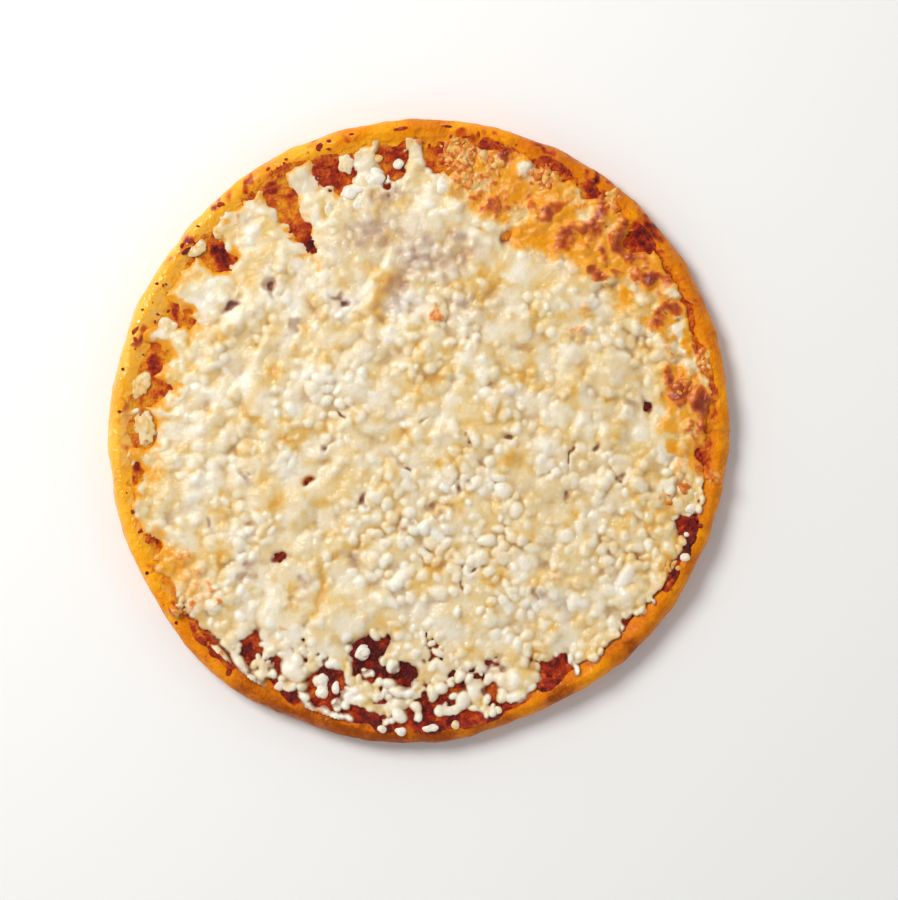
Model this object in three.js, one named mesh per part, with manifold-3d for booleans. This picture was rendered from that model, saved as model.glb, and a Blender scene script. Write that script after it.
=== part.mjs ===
// A whole cheese pizza, baked and uncut: a dough base with a low rounded rim, a tomato layer that shows
// round the edge and through gaps, and a melted cheese sheet that is still lumpy with curds.
// Millimetres, +Z up. The origin is the middle of the flat underside.
import * as THREE from "three";
import { mergeVertices } from "three/addons/utils/BufferGeometryUtils.js";
import Module from "manifold-3d";

const wasm = await Module();
wasm.setup();

// Driving dimensions
const diameter = 300; // mean width of the dough, a standard 30 cm pizza
const floorHeight = 9; // dough under the sauce
const rimHeight = 14.6; // crest of the rim above the table
const sauceThickness = 1.5;
const cheeseThickness = 2.2;
const curdSpacing = 6.8; // between the lumps that the curds leave in the sheet
const curdRise = 2.3; // of the tallest lump above the sheet
const gap = 0.3; // kept between layers that lie on each other

const meanRadius = diameter / 2;
const sauceEdge = meanRadius - 7;
const cheeseEdge = meanRadius - 11;
const turn = 2 * Math.PI;
const toRadians = Math.PI / 180;

// The rim's section from the foot over the crest to the floor: how far in from the edge, and how high
// as a share of rimHeight.
const rimSection = [
  [4.6, 0],
  [1.3, 0.12],
  [0, 0.4],
  [0.8, 0.7],
  [2.7, 0.92],
  [5.2, 1],
  [8.4, 0.92],
  [12, 0.76],
  [17, 0.65],
  [26, 0.62],
];
const crestStep = 4; // from this step on the section lies on the top side

// Where the cheese draws back from the rim: bearing in degrees, width and depth in mm.
const bays = [
  [41, 13, 8],
  [54, 10, 6],
  [86, 18, 17],
  [95.5, 16, 23],
  [108, 20, 21],
  [120.5, 12, 34],
  [138.5, 14, 18],
  [155, 15, 16],
  [165.5, 20, 13],
  [172, 20, 17],
  [179, 24, 15],
  [189, 11, 8],
  [203, 11, 6],
  [232, 8, 15],
  [240, 9, 14],
  [249, 11, 15],
  [262, 7, 6],
  [272, 8, 13],
  [279, 7, 9],
  [286.5, 11, 11],
  [300, 15, 12],
  [318.5, 12, 5],
  [340.5, 12, 9],
  [354.5, 10, 5],
];

// Gaps inside the sheet that show the sauce: x, y, radius.
const holes = [
  [-25, -108, 7],
  [-7, -117, 5],
  [-44.5, -124, 8],
  [-67, -60, 3.4],
  [-54, -24, 2.6],
  [43, 94, 4],
  [109, 11, 3.6],
];

// Lumps of cheese that lie apart from the sheet: name, x, y, length, width and bearing of the length.
const islands = [
  ["cheese_blob_left", -134.8, 23, 11.5, 9, 62],
  ["cheese_patch_left", -133.6, 2.5, 15, 10, 95],
  ["cheese_lump_in_gap", -25.5, -107.5, 7, 6, 20],
  ["cheese_pair_in_gap", -46, -123, 10, 6.4, 95],
  ["toasted_curd_right", 142, -22, 8, 5.4, 110],
];

// The toasted crumbs that lie in a heap at the edge of the sheet.
const heapPlace = { x: 19.5, y: 133.5, length: 18, width: 14, crumbs: 10 };

// Single curds on the sauce, fused to it: x, y, diameter.
const strayCurds = [
  [-9, -143, 4.6],
  [-18, -141, 4],
  [6, -141.5, 5],
  [17.5, -140.5, 4.4],
  [38, -134, 4],
  [126, -61, 4.6],
  [107, -87.5, 4.4],
  [-67, -123, 4.6],
  [-91, 95, 4],
];

const polar = (x, y) => [Math.hypot(x, y), (Math.atan2(y, x) + turn) % turn];
const wave = (angle, times, peak) => Math.cos(times * (angle - peak * toRadians));
const ramp = (distance, width) => Math.min(1, Math.max(0, distance / width));

// A smooth local change: 1 at the bearing, fading over the half width, both in degrees.
function local(angle, bearing, halfWidth) {
  const away = ((angle / toRadians - bearing + 540) % 360) - 180;
  return Math.exp(-((away / halfWidth) ** 2));
}

// The dough's outline: hand-stretched, so a little long one way, with one bulge and one flat stretch.
function outline(angle) {
  return meanRadius + 1.6 * wave(angle, 2, 52) + 2 * local(angle, 228, 14) - 2.6 * local(angle, 293, 11);
}

// How far the sauce and the cheese reach on a bearing; the cheese's bays are cut out afterwards.
const sauceReach = (angle) => sauceEdge + 1.6 * wave(angle, 7, 20) + 1.1 * wave(angle, 13, 5);
const cheeseReach = (angle) => cheeseEdge + 1.4 * wave(angle, 2, 50) + 1.2 * wave(angle, 17, 8);

// Repeatable scatter: a number from 0 to 1 for the item and the purpose.
function chance(item, purpose) {
  const mixed = Math.sin(item * 12.9898 + purpose * 78.233) * 43758.5453;
  return mixed - Math.floor(mixed);
}

// Slow swells of the baked top, about -1 to 1.
function swell(x, y) {
  return (
    0.5 * Math.sin(x / 9.1 + 1.7 * Math.sin(y / 23)) * Math.cos(y / 8.3) +
    0.5 * Math.sin(y / 15.7 + x / 27 + 2) * Math.cos(x / 13.1 - 0.6)
  );
}

// Height of the dough's top side.
function doughTop(x, y) {
  const [r, angle] = polar(x, y);
  const inward = outline(angle) - r;
  const steps = rimSection.slice(crestStep);
  if (inward > steps.at(-1)[0]) return floorHeight;
  const next = Math.max(1, steps.findIndex(([depth]) => depth > inward));
  const [[d0, share0], [d1, share1]] = [steps[next - 1], steps[next]];
  const share = share0 + ((share1 - share0) * (inward - d0)) / (d1 - d0);
  const unevenness = 0.5 * wave(angle, 3, 80) + 0.35 * wave(angle, 11, 4);
  return share * rimHeight + unevenness * ramp(share - 0.62, 0.3);
}

// The sauce runs out to nothing at its edge; the cheese ends in a low step.
function sauceTop(x, y) {
  const [r, angle] = polar(x, y);
  const cover = ramp(sauceReach(angle) - r, 4);
  return doughTop(x, y) - gap + (gap + sauceThickness * (0.85 + 0.15 * swell(x, y))) * cover;
}

function cheeseTop(x, y) {
  const [r, angle] = polar(x, y);
  const cover = 0.4 + 0.6 * ramp(cheeseReach(angle) - r, 6);
  return sauceTop(x, y) + gap + cheeseThickness * cover + 0.9 * swell(x + 40, y - 25) * cover;
}

// A turned form whose rings are then moved by a rule: place(x, y, ring) gives the new x, y and z.
function turnedForm(section, segments, place) {
  const profile = section.map(([r, z]) => new THREE.Vector2(r, z));
  const form = new THREE.LatheGeometry(profile, segments).rotateX(Math.PI / 2);
  const at = form.getAttribute("position");
  for (let i = 0; i < at.count; i++) {
    at.setXYZ(i, ...place(at.getX(i), at.getY(i), i % profile.length));
  }
  return form;
}

// A closed geometry as a solid that can be joined and cut.
function toSolid(geometry) {
  const bare = geometry.clone();
  bare.deleteAttribute("normal");
  bare.deleteAttribute("uv");
  const merged = mergeVertices(bare, 1e-3);
  return new wasm.Manifold(
    new wasm.Mesh({
      numProp: 3,
      vertProperties: merged.getAttribute("position").array,
      triVerts: new Uint32Array(merged.index.array),
    }),
  );
}

function toGeometry(solid) {
  const { vertProperties, triVerts } = solid.getMesh();
  const shared = new THREE.BufferGeometry();
  shared.setAttribute("position", new THREE.BufferAttribute(vertProperties, 3));
  shared.setIndex(new THREE.BufferAttribute(triVerts, 1));
  const faceted = shared.toNonIndexed();
  faceted.computeVertexNormals();
  return faceted;
}

// The largest body of a solid: loose scraps left by a cut are dropped.
const largest = (solid) => solid.decompose().reduce((a, b) => (a.volume() > b.volume() ? a : b));

function doughForm() {
  const rim = rimSection.map(([depth, share]) => [meanRadius - depth, share * rimHeight]);
  const section = [[0, 0], ...rim, [0, floorHeight]];
  return turnedForm(section, 56, (x, y, ring) => {
    const [, angle] = polar(x, y);
    const stretch = outline(angle) / meanRadius;
    const [px, py] = [x * stretch, y * stretch];
    return [px, py, ring > crestStep ? doughTop(px, py) : section[ring][1]];
  });
}

// A layer on the dough: rings at shares of the rule's reach, a top that follows the rule's height,
// and a foot sunk into the dough, ready to be cut.
const foot = 3;
function layerForm(shares, segments, reach, top) {
  const section = [[0, foot], [1, foot], ...shares.map((share) => [share, foot + 1]), [0, foot + 1]];
  return turnedForm(section, segments, (x, y, ring) => {
    const edge = reach(polar(x, y)[1]);
    const [px, py] = [x * edge, y * edge];
    return [px, py, ring < 2 ? foot : top(px, py)];
  });
}

// A rounded lump with few sides, lying on the surface.
function lump(x, y, z, length, width, height, bearing, detail = 0) {
  return new THREE.IcosahedronGeometry(0.5, detail)
    .scale(length, width, height)
    .rotateZ(bearing * toRadians)
    .translate(x, y, z);
}

// An upright cutter with an oval section.
function ovalCut(x, y, length, width, bearing, sides) {
  return new THREE.CylinderGeometry(0.5, 0.44, 40, sides)
    .rotateX(Math.PI / 2)
    .scale(length, width, 1)
    .rotateZ(bearing * toRadians)
    .translate(x, y, 0);
}

const doughShape = doughForm();
const sauceShape = layerForm([1, 0.97, 0.91, 0.84], 64, sauceReach, sauceTop);
const liftedDough = toSolid(doughShape.clone().translate(0, 0, gap));
const liftedSauce = toSolid(sauceShape.clone().translate(0, 0, gap));

function strayLump([x, y, size], grown = 0) {
  const wide = size + grown;
  return toSolid(lump(x, y, sauceTop(x, y) + 0.1 * size, 1.25 * size + grown, wide, wide, 37 * x));
}

function sauceSolid() {
  const sauce = strayCurds.reduce((solid, curd) => solid.add(strayLump(curd)), toSolid(sauceShape));
  return largest(sauce.subtract(liftedDough));
}

// What lies on the dough and the sauce is cut free of both, and of the curds fused to the sauce.
function settle(solid) {
  const clearOfStrays = strayCurds.reduce((rest, curd) => rest.subtract(strayLump(curd, 2 * gap)), solid);
  return largest(clearOfStrays.subtract(liftedDough).subtract(liftedSauce));
}

// How far the curds still stand out at a spot: 1 where they are crisp, less where they have melted.
function crispness(x, y) {
  const melted = 0.5 + 0.5 * Math.sin(x / 21 + 2.2) * Math.cos(y / 26 - 0.4);
  const towardsBottomRight = ramp(x - y + 170, 300);
  return Math.min(1, 0.5 + 0.35 * towardsBottomRight + 0.3 * (1 - melted));
}

// A square block whose top is all curd lumps: every other point of a shaken grid is raised.
function lumpyBlock() {
  const half = cheeseEdge + 8;
  const step = curdSpacing / Math.SQRT2;
  const cells = Math.ceil((2 * half) / step);
  const block = new THREE.BoxGeometry(cells * step, cells * step, 2, cells, cells, 1);
  const at = block.getAttribute("position");
  for (let i = 0; i < at.count; i++) {
    const [column, row] = [at.getX(i) / step + cells / 2, at.getY(i) / step + cells / 2].map(Math.round);
    const item = column + 97 * row;
    const x = at.getX(i) + 0.5 * step * (chance(item, 1) - 0.5);
    const y = at.getY(i) + 0.5 * step * (chance(item, 2) - 0.5);
    const raised = (column + row) % 2 === 0;
    const rise = raised ? curdRise * (0.2 + 0.8 * chance(item, 3)) : -0.8 * chance(item, 4);
    at.setXYZ(i, x, y, at.getZ(i) < 0 ? foot : cheeseTop(x, y) + rise * crispness(x, y));
  }
  return block;
}

// The cheese sheet: the lumpy block is trimmed to its outline, the bays and gaps are cut out, and the
// strands and the crisp curds of the lower edge are fused on.
function cheeseSolid() {
  let sheet = toSolid(lumpyBlock()).intersect(toSolid(layerForm([1], 96, cheeseReach, () => 40)));
  for (const [bearing, width, depth] of bays) {
    const edge = cheeseReach(bearing * toRadians) + 1;
    const [x, y] = [edge * Math.cos(bearing * toRadians), edge * Math.sin(bearing * toRadians)];
    sheet = sheet.subtract(toSolid(ovalCut(x, y, 2 * depth + 2, width, bearing, 7)));
  }
  for (const [x, y, radius] of holes) {
    sheet = sheet.subtract(toSolid(ovalCut(x, y, 2.2 * radius, 1.8 * radius, 20, 7)));
  }
  for (const piece of [...strands(), ...edgeCurds()]) sheet = sheet.add(toSolid(piece));
  const { x, y, length, width } = heapPlace;
  return settle(sheet.subtract(toSolid(ovalCut(x, y, length + 4, width + 4, 0, 12))));
}

// A strand of pulled cheese: a chain of tapering lumps from one point to another.
function strand(x0, y0, x1, y1, width) {
  const steps = Math.ceil(Math.hypot(x1 - x0, y1 - y0) / width);
  const bearing = Math.atan2(y1 - y0, x1 - x0) / toRadians;
  return Array.from({ length: steps + 1 }, (_, i) => {
    const [x, y] = [x0 + ((x1 - x0) * i) / steps, y0 + ((y1 - y0) * i) / steps];
    const taper = 1 - (0.25 * i) / steps;
    return lump(x, y, sauceTop(x, y) + 1, width * 2.1, width * taper, 4, bearing);
  });
}

const strands = () => [...strand(-68, -110, -56, -131, 7), ...strand(-58, -131, -37, -136.5, 4.4)];

// Is the spot on the sheet, with room for a curd?
function onSheet(x, y, room) {
  const [r, angle] = polar(x, y);
  const clearOfHoles = holes.every(([hx, hy, radius]) => Math.hypot(x - hx, y - hy) > radius + 0.6 * room);
  const clearOfBays = bays.every(([bearing, width, depth]) => {
    const aside = r * Math.sin(angle - bearing * toRadians);
    const along = cheeseReach(angle) + 1 - r * Math.cos(angle - bearing * toRadians);
    return (aside / (width / 2 + 0.4 * room)) ** 2 + (along / (depth + 0.4 * room)) ** 2 > 1;
  });
  return clearOfHoles && clearOfBays;
}

// Crisp curds along the lower edge of the sheet, left out where a bay or a gap has no sheet.
function edgeCurds() {
  const [firstBearing, lastBearing, count] = [196, 352, 24];
  const made = [];
  for (let i = 0; i < count; i++) {
    const angle = (firstBearing + ((lastBearing - firstBearing) * i) / (count - 1)) * toRadians;
    const size = 5.4 + 2 * chance(i, 3);
    const r = cheeseReach(angle) - 0.45 * size - 2 * chance(i, 5);
    const [x, y] = [r * Math.cos(angle), r * Math.sin(angle)];
    if (!onSheet(x, y, size)) continue;
    made.push(lump(x, y, cheeseTop(x, y) + 0.4, 1.2 * size, size, 0.9 * size, 360 * chance(i, 6)));
  }
  return made;
}

// A lump of cheese that lies on the sauce and the rim.
function islandSolid([, x, y, length, width, bearing]) {
  return settle(toSolid(lump(x, y, sauceTop(x, y) + 0.8, length, width, 5, bearing, 1)));
}

// A heap of toasted crumbs on the rim: a flat core with crumbs fused on.
function crumbHeap() {
  const { x, y, length, width, crumbs } = heapPlace;
  let heap = toSolid(lump(x, y, sauceTop(x, y) + 0.3, length, width, 4.4, 12));
  for (let i = 0; i < crumbs; i++) {
    const angle = i * 2.4;
    const out = Math.sqrt((i + 0.5) / crumbs);
    const [cx, cy] = [x + 0.44 * length * out * Math.cos(angle), y + 0.42 * width * out * Math.sin(angle)];
    const size = 3.4 + 1.4 * chance(i, 6);
    heap = heap.add(toSolid(lump(cx, cy, sauceTop(cx, cy) + 2 - out, 1.2 * size, size, size, 360 * chance(i, 7))));
  }
  return settle(heap);
}

const material = (color, roughness) => new THREE.MeshStandardMaterial({ color, roughness, metalness: 0 });
const doughLook = material("#eba32c", 0.5);
const sauceLook = material("#9c2a14", 0.35);
const cheeseLook = material("#efe2bd", 0.4);
const toastedLook = material("#dfa35a", 0.5);

const pizza = new THREE.Group();

function serve(name, solid, look) {
  const mesh = new THREE.Mesh(toGeometry(solid), look);
  mesh.name = name;
  pizza.add(mesh);
}

serve("crust", toSolid(doughShape), doughLook);
serve("sauce", sauceSolid(), sauceLook);
serve("cheese", cheeseSolid(), cheeseLook);
serve("toasted_crumbs", crumbHeap(), toastedLook);
for (const island of islands) serve(island[0], islandSolid(island), cheeseLook);

export default pizza;
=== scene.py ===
# A whole cheese pizza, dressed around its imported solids. Lengths are millimetres until a mesh is made.
import math

import bmesh
import bpy
import numpy as np
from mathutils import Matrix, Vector


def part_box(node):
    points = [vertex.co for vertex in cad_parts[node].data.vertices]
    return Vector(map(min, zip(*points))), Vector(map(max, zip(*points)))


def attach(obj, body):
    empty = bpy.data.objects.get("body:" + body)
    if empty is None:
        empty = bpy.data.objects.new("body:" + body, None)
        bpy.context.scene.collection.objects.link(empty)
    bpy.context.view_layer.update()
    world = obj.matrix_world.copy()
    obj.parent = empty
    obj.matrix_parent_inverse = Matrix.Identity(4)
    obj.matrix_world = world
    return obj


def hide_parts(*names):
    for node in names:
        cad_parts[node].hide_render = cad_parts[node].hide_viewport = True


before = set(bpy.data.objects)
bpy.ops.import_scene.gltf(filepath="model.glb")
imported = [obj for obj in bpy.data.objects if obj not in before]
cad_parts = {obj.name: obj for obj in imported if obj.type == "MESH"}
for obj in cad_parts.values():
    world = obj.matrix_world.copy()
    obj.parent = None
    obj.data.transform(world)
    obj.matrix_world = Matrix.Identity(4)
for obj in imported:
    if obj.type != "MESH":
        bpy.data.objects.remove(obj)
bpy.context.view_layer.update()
millimetre = 0.001
fullTurn = 2 * math.pi
crustLow, crustHigh = [Vector(corner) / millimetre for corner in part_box("crust")]
meanRadius = (crustHigh.x - crustLow.x + crustHigh.y - crustLow.y) / 4
print("frame loaded, mean radius", round(meanRadius, 1), "mm")


# ---- small helpers ----
def hexColour(code):
    channels = [int(code[i : i + 2], 16) / 255 for i in (1, 3, 5)]
    linear = [c / 12.92 if c <= 0.04045 else ((c + 0.055) / 1.055) ** 2.4 for c in channels]
    return (*linear, 1.0)


# adds one node: settings are its own options, inputs are values or sockets to link from
def addNode(tree, kind, settings=None, inputs=None):
    node = tree.nodes.new(kind)
    for name, value in (settings or {}).items():
        setattr(node, name, value)
    for socket, value in (inputs or {}).items():
        if isinstance(value, bpy.types.NodeSocket):
            tree.links.new(value, node.inputs[socket])
        else:
            node.inputs[socket].default_value = value
    return node


def newMaterial(name):
    material = bpy.data.materials.new(name)
    material.use_nodes = True
    material.node_tree.nodes.clear()
    return material, material.node_tree


def paint(tree, name):
    return addNode(tree, "ShaderNodeAttribute", {"attribute_name": name}).outputs["Fac"]


def noise(tree, place, scale, detail, roughness=0.5, distortion=0.0):
    inputs = {"Vector": place, "Scale": scale, "Detail": detail, "Roughness": roughness}
    inputs["Distortion"] = distortion
    return addNode(tree, "ShaderNodeTexNoise", None, inputs).outputs["Fac"]


# carries a value from the range start to full over to the range low to high
def carried(tree, value, low, high, start=0.0, full=1.0, kind="LINEAR"):
    inputs = {"Value": value, "From Min": start, "From Max": full, "To Min": low, "To Max": high}
    return addNode(tree, "ShaderNodeMapRange", {"interpolation_type": kind}, inputs).outputs[0]


def reckoned(tree, operation, *inputs):
    return addNode(tree, "ShaderNodeMath", {"operation": operation}, dict(enumerate(inputs))).outputs[0]


# first times a factor, plus second
def summed(tree, first, second, factor=1.0):
    return reckoned(tree, "MULTIPLY_ADD", first, factor, second)


def mixed(tree, factor, under, over):
    return addNode(tree, "ShaderNodeMix", {"data_type": "RGBA"}, {0: factor, 6: under, 7: over}).outputs[2]


# mixes a second colour over a first by a factor that rises smoothly between two values
def laidOver(tree, under, over, factor, start, full, most=1.0):
    return mixed(tree, carried(tree, factor, 0, most, start, full, "SMOOTHSTEP"), under, over)


# a colour that runs through (position, hex colour) stops
def rampOf(tree, factor, stops):
    node = addNode(tree, "ShaderNodeValToRGB", None, {"Fac": factor})
    elements = node.color_ramp.elements
    while len(elements) < len(stops):
        elements.new(0.5)
    for element, (position, code) in zip(elements, stops):
        element.position = position
        element.color = hexColour(code)
    return node.outputs[0]


def bumped(tree, height, strength, distance, normal=None):
    inputs = {"Height": height, "Strength": strength, "Distance": distance}
    if normal is not None:
        inputs["Normal"] = normal
    return addNode(tree, "ShaderNodeBump", None, inputs).outputs[0]


def finishMaterial(material, inputs):
    shader = addNode(material.node_tree, "ShaderNodeBsdfPrincipled", None, inputs)
    addNode(material.node_tree, "ShaderNodeOutputMaterial", None, {"Surface": shader.outputs[0]})
    return material


# smooth value noise, about -1 to 1, the same every run
def softNoise(x, y, size, seed):
    table = np.random.default_rng(seed).uniform(-1.3, 1.3, (64, 64))
    gx, gy = np.asarray(x) / size + 200, np.asarray(y) / size + 200
    ix, iy = np.floor(gx).astype(int), np.floor(gy).astype(int)
    fx, fy = gx - ix, gy - iy
    sx, sy = fx * fx * (3 - 2 * fx), fy * fy * (3 - 2 * fy)
    row0 = table[ix % 64, iy % 64] * (1 - sx) + table[(ix + 1) % 64, iy % 64] * sx
    row1 = table[ix % 64, (iy + 1) % 64] * (1 - sx) + table[(ix + 1) % 64, (iy + 1) % 64] * sx
    return row0 * (1 - sy) + row1 * sy


def ramp(distance, width):
    return np.clip(distance / width, 0, 1)


# oval marks: x, y, length, width, bearing in degrees, amount; full inside, fading at the rim
def marks(x, y, places, ragged=0.0):
    x, y = np.asarray(x, dtype=float), np.asarray(y, dtype=float)
    if ragged:
        x, y = x + ragged * softNoise(x, y, 4.1, 21), y + ragged * softNoise(x, y, 4.1, 22)
    total = np.zeros_like(x)
    for cx, cy, length, width, bearing, amount in places:
        cosine, sine = math.cos(math.radians(bearing)), math.sin(math.radians(bearing))
        along = ((x - cx) * cosine + (y - cy) * sine) / (length / 2)
        across = ((y - cy) * cosine - (x - cx) * sine) / (width / 2)
        total = np.maximum(total, amount * np.exp(-((along**2 + across**2) ** 1.5)))
    return total


# 1 at the bearing, fading over the half width, both in degrees
def nearBearing(angle, bearing, halfWidth):
    away = (np.degrees(angle) - bearing + 540) % 360 - 180
    return np.exp(-((away / halfWidth) ** 2))


def polar(x, y):
    return np.hypot(x, y), np.arctan2(y, x) % fullTurn


def wave(angle, times, peak):
    return np.cos(times * (angle - math.radians(peak)))


def readPoints(mesh):
    points = np.empty(len(mesh.vertices) * 3)
    mesh.vertices.foreach_get("co", points)
    return points.reshape(-1, 3) / millimetre


def writePoints(mesh, points):
    mesh.vertices.foreach_set("co", (points * millimetre).ravel())
    mesh.update()


def addAttribute(mesh, name, values):
    layer = mesh.attributes.new(name, "FLOAT", "POINT")
    layer.data.foreach_set("value", np.broadcast_to(values, len(mesh.vertices)).astype(np.float32))


def addPiece(name, mesh, material, nodes=()):
    piece = bpy.data.objects.new(name, mesh)
    bpy.context.scene.collection.objects.link(piece)
    mesh.materials.append(material)
    mesh.polygons.foreach_set("use_smooth", [True] * len(mesh.polygons))
    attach(piece, "root")
    if nodes:
        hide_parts(*nodes)
    print(name, len(mesh.vertices), "points,", sum(len(p.vertices) - 2 for p in mesh.polygons), "triangles")
    return piece


# turns a half section, given as radius and height, into a closed ring of rings
def turnedMesh(name, line, steps):
    shape = bmesh.new()
    rows = len(line) - 1
    bmesh.ops.create_grid(shape, x_segments=steps, y_segments=rows, size=0.5)
    for corner in shape.verts:
        angle = (corner.co.x + 0.5) * fullTurn
        r, z = line[round((corner.co.y + 0.5) * rows)]
        corner.co = Vector((r * math.cos(angle), r * math.sin(angle), z)) * millimetre
    bmesh.ops.remove_doubles(shape, verts=shape.verts, dist=1e-6)
    bmesh.ops.recalc_face_normals(shape, faces=shape.faces)
    mesh = bpy.data.meshes.new(name)
    shape.to_mesh(mesh)
    shape.free()
    return mesh


# joined copies of a ball, one for each row of places: x, y, z, length, width, height, turn
def joinedBalls(name, places, divisions, lumpiness=0.0):
    ball = bmesh.new()
    bmesh.ops.create_icosphere(ball, subdivisions=divisions, radius=0.5)
    corners = np.array([v.co[:] for v in ball.verts])
    faces = np.array([[v.index for v in f.verts] for f in ball.faces])
    ball.free()
    places = np.asarray(places, dtype=float)
    sized = corners[None] * places[:, None, 3:6]
    cosine, sine = np.cos(places[:, 6])[:, None], np.sin(places[:, 6])[:, None]
    turned = np.stack([
        sized[..., 0] * cosine - sized[..., 1] * sine,
        sized[..., 0] * sine + sized[..., 1] * cosine,
        sized[..., 2],
    ], axis=-1)  # fmt: skip
    points = (turned + places[:, None, :3]).reshape(-1, 3)
    if lumpiness:
        x, y, z = points.T
        swollen = 1 + lumpiness * softNoise(x + 1.7 * z, y - z, 1.9, 23)[:, None]
        points = np.repeat(places[:, :3], len(corners), axis=0) + turned.reshape(-1, 3) * swollen
    allFaces = (faces[None] + np.arange(len(places))[:, None, None] * len(corners)).reshape(-1, 3)
    mesh = bpy.data.meshes.new(name)
    mesh.vertices.add(len(points))
    mesh.vertices.foreach_set("co", (points * millimetre).ravel())
    mesh.loops.add(allFaces.size)
    mesh.loops.foreach_set("vertex_index", allFaces.ravel())
    mesh.polygons.add(len(allFaces))
    mesh.polygons.foreach_set("loop_start", np.arange(0, allFaces.size, 3))
    mesh.polygons.foreach_set("loop_total", np.full(len(allFaces), 3))
    mesh.update(calc_edges=True)
    mesh.validate()
    return mesh


# ---- the pizza's own rules, as in its solids ----
dough = {
    "floorHeight": 9.0,
    "section": [  # in from the edge and height, foot first
        (4.6, 0.0), (1.3, 1.75), (0.0, 5.84), (0.8, 10.2), (2.7, 13.4), (5.2, 14.6), (8.4, 13.4),
        (12.0, 11.1), (17.0, 9.5), (26.0, 9.0), (40.0, 9.0),
    ],
    "firstTopStep": 4,
    "hiddenRings": (100, 80, 50, 20, 0),  # under the sauce
    "undersideRings": (0, 40, 80, 110, 130, 140),
    "ringSpacing": 0.75,
    "turnSteps": 960,
}
sauce = {"edge": 7.0, "thickness": 1.5}
cheese = {
    "edge": 11.0,
    "thickness": 2.2,
    "smallHole": 4,  # into gaps of less radius the molten cheese sags
    "sag": 1.9,  # by so much
}

# where the cheese draws back from the rim: bearing in degrees, width and depth
bays = [
    (41, 13, 8), (54, 10, 6), (86, 18, 17), (95.5, 16, 23), (108, 20, 21), (120.5, 12, 34),
    (138.5, 14, 18), (155, 15, 16), (165.5, 20, 13), (172, 20, 17), (179, 24, 15), (189, 11, 8),
    (203, 11, 6), (232, 8, 15), (240, 9, 14), (249, 11, 15), (262, 7, 6), (272, 8, 13), (279, 7, 9),
    (286.5, 11, 11), (300, 15, 12), (318.5, 12, 5), (340.5, 12, 9), (354.5, 10, 5),
]  # fmt: skip
# gaps inside the sheet: x, y, radius
holes = [
    (-25, -108, 7), (-7, -117, 5), (-44.5, -124, 8), (-67, -60, 3.8), (-54, -24, 3.2), (43, 94, 3.4),
    (109, 11, 3.4),
]  # fmt: skip


def outline(angle):
    bulge, flat = 2 * nearBearing(angle, 228, 14), 2.6 * nearBearing(angle, 293, 11)
    return meanRadius + 1.6 * wave(angle, 2, 52) + bulge - flat


def sauceReach(angle):
    return meanRadius - sauce["edge"] + 1.6 * wave(angle, 7, 20) + 1.1 * wave(angle, 13, 5)


def cheeseReach(angle):
    return meanRadius - cheese["edge"] + 1.4 * wave(angle, 2, 50) + 1.2 * wave(angle, 17, 8)


# slow swells of the baked top, about -1 to 1
def swell(x, y):
    first = np.sin(x / 9.1 + 1.7 * np.sin(y / 23)) * np.cos(y / 8.3)
    return 0.5 * first + 0.5 * np.sin(y / 15.7 + x / 27 + 2) * np.cos(x / 13.1 - 0.6)


# rounds a line's corners by cutting them, then spaces its points evenly
def smoothLine(points, spacing):
    line = np.array(points, dtype=float)
    for _ in range(3):
        first, last = line[:1], line[-1:]
        near, far = 0.75 * line[:-1] + 0.25 * line[1:], 0.25 * line[:-1] + 0.75 * line[1:]
        line = np.vstack([first, np.stack([near, far], axis=1).reshape(-1, 2), last])
    along = np.concatenate([[0], np.cumsum(np.hypot(*np.diff(line, axis=0).T))])
    even = np.linspace(0, along[-1], int(along[-1] / spacing) + 1)
    return np.column_stack([np.interp(even, along, line[:, 0]), np.interp(even, along, line[:, 1])])


topLine = smoothLine(dough["section"][dough["firstTopStep"] :], 0.5)


def unevenness(angle):
    return 0.5 * wave(angle, 3, 80) + 0.35 * wave(angle, 11, 4)


def doughTop(x, y):
    r, angle = polar(x, y)
    inward = outline(angle) - r
    height = np.interp(inward, topLine[:, 0], topLine[:, 1])
    return height + unevenness(angle) * ramp(height - dough["floorHeight"], 4)


# distance inside the sheet's edge, negative in bays and gaps
def sheetDepth(x, y):
    r, angle = polar(x, y)
    depth = cheeseReach(angle) - r
    for bearing, width, bayDepth in bays:
        turnTo = angle - math.radians(bearing)
        aside, along = r * np.sin(turnTo), cheeseReach(angle) + 1 - r * np.cos(turnTo)
        reach = np.sqrt((aside / (width / 2)) ** 2 + (along / bayDepth) ** 2)
        depth = np.where(np.cos(turnTo) > 0, np.minimum(depth, (reach - 1) * width / 2), depth)
    for hx, hy, radius in holes:
        sag = cheese["sag"] if radius < cheese["smallHole"] else 0
        depth = np.minimum(depth, np.hypot(x - hx, y - hy) - radius + sag)
    return depth


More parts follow.
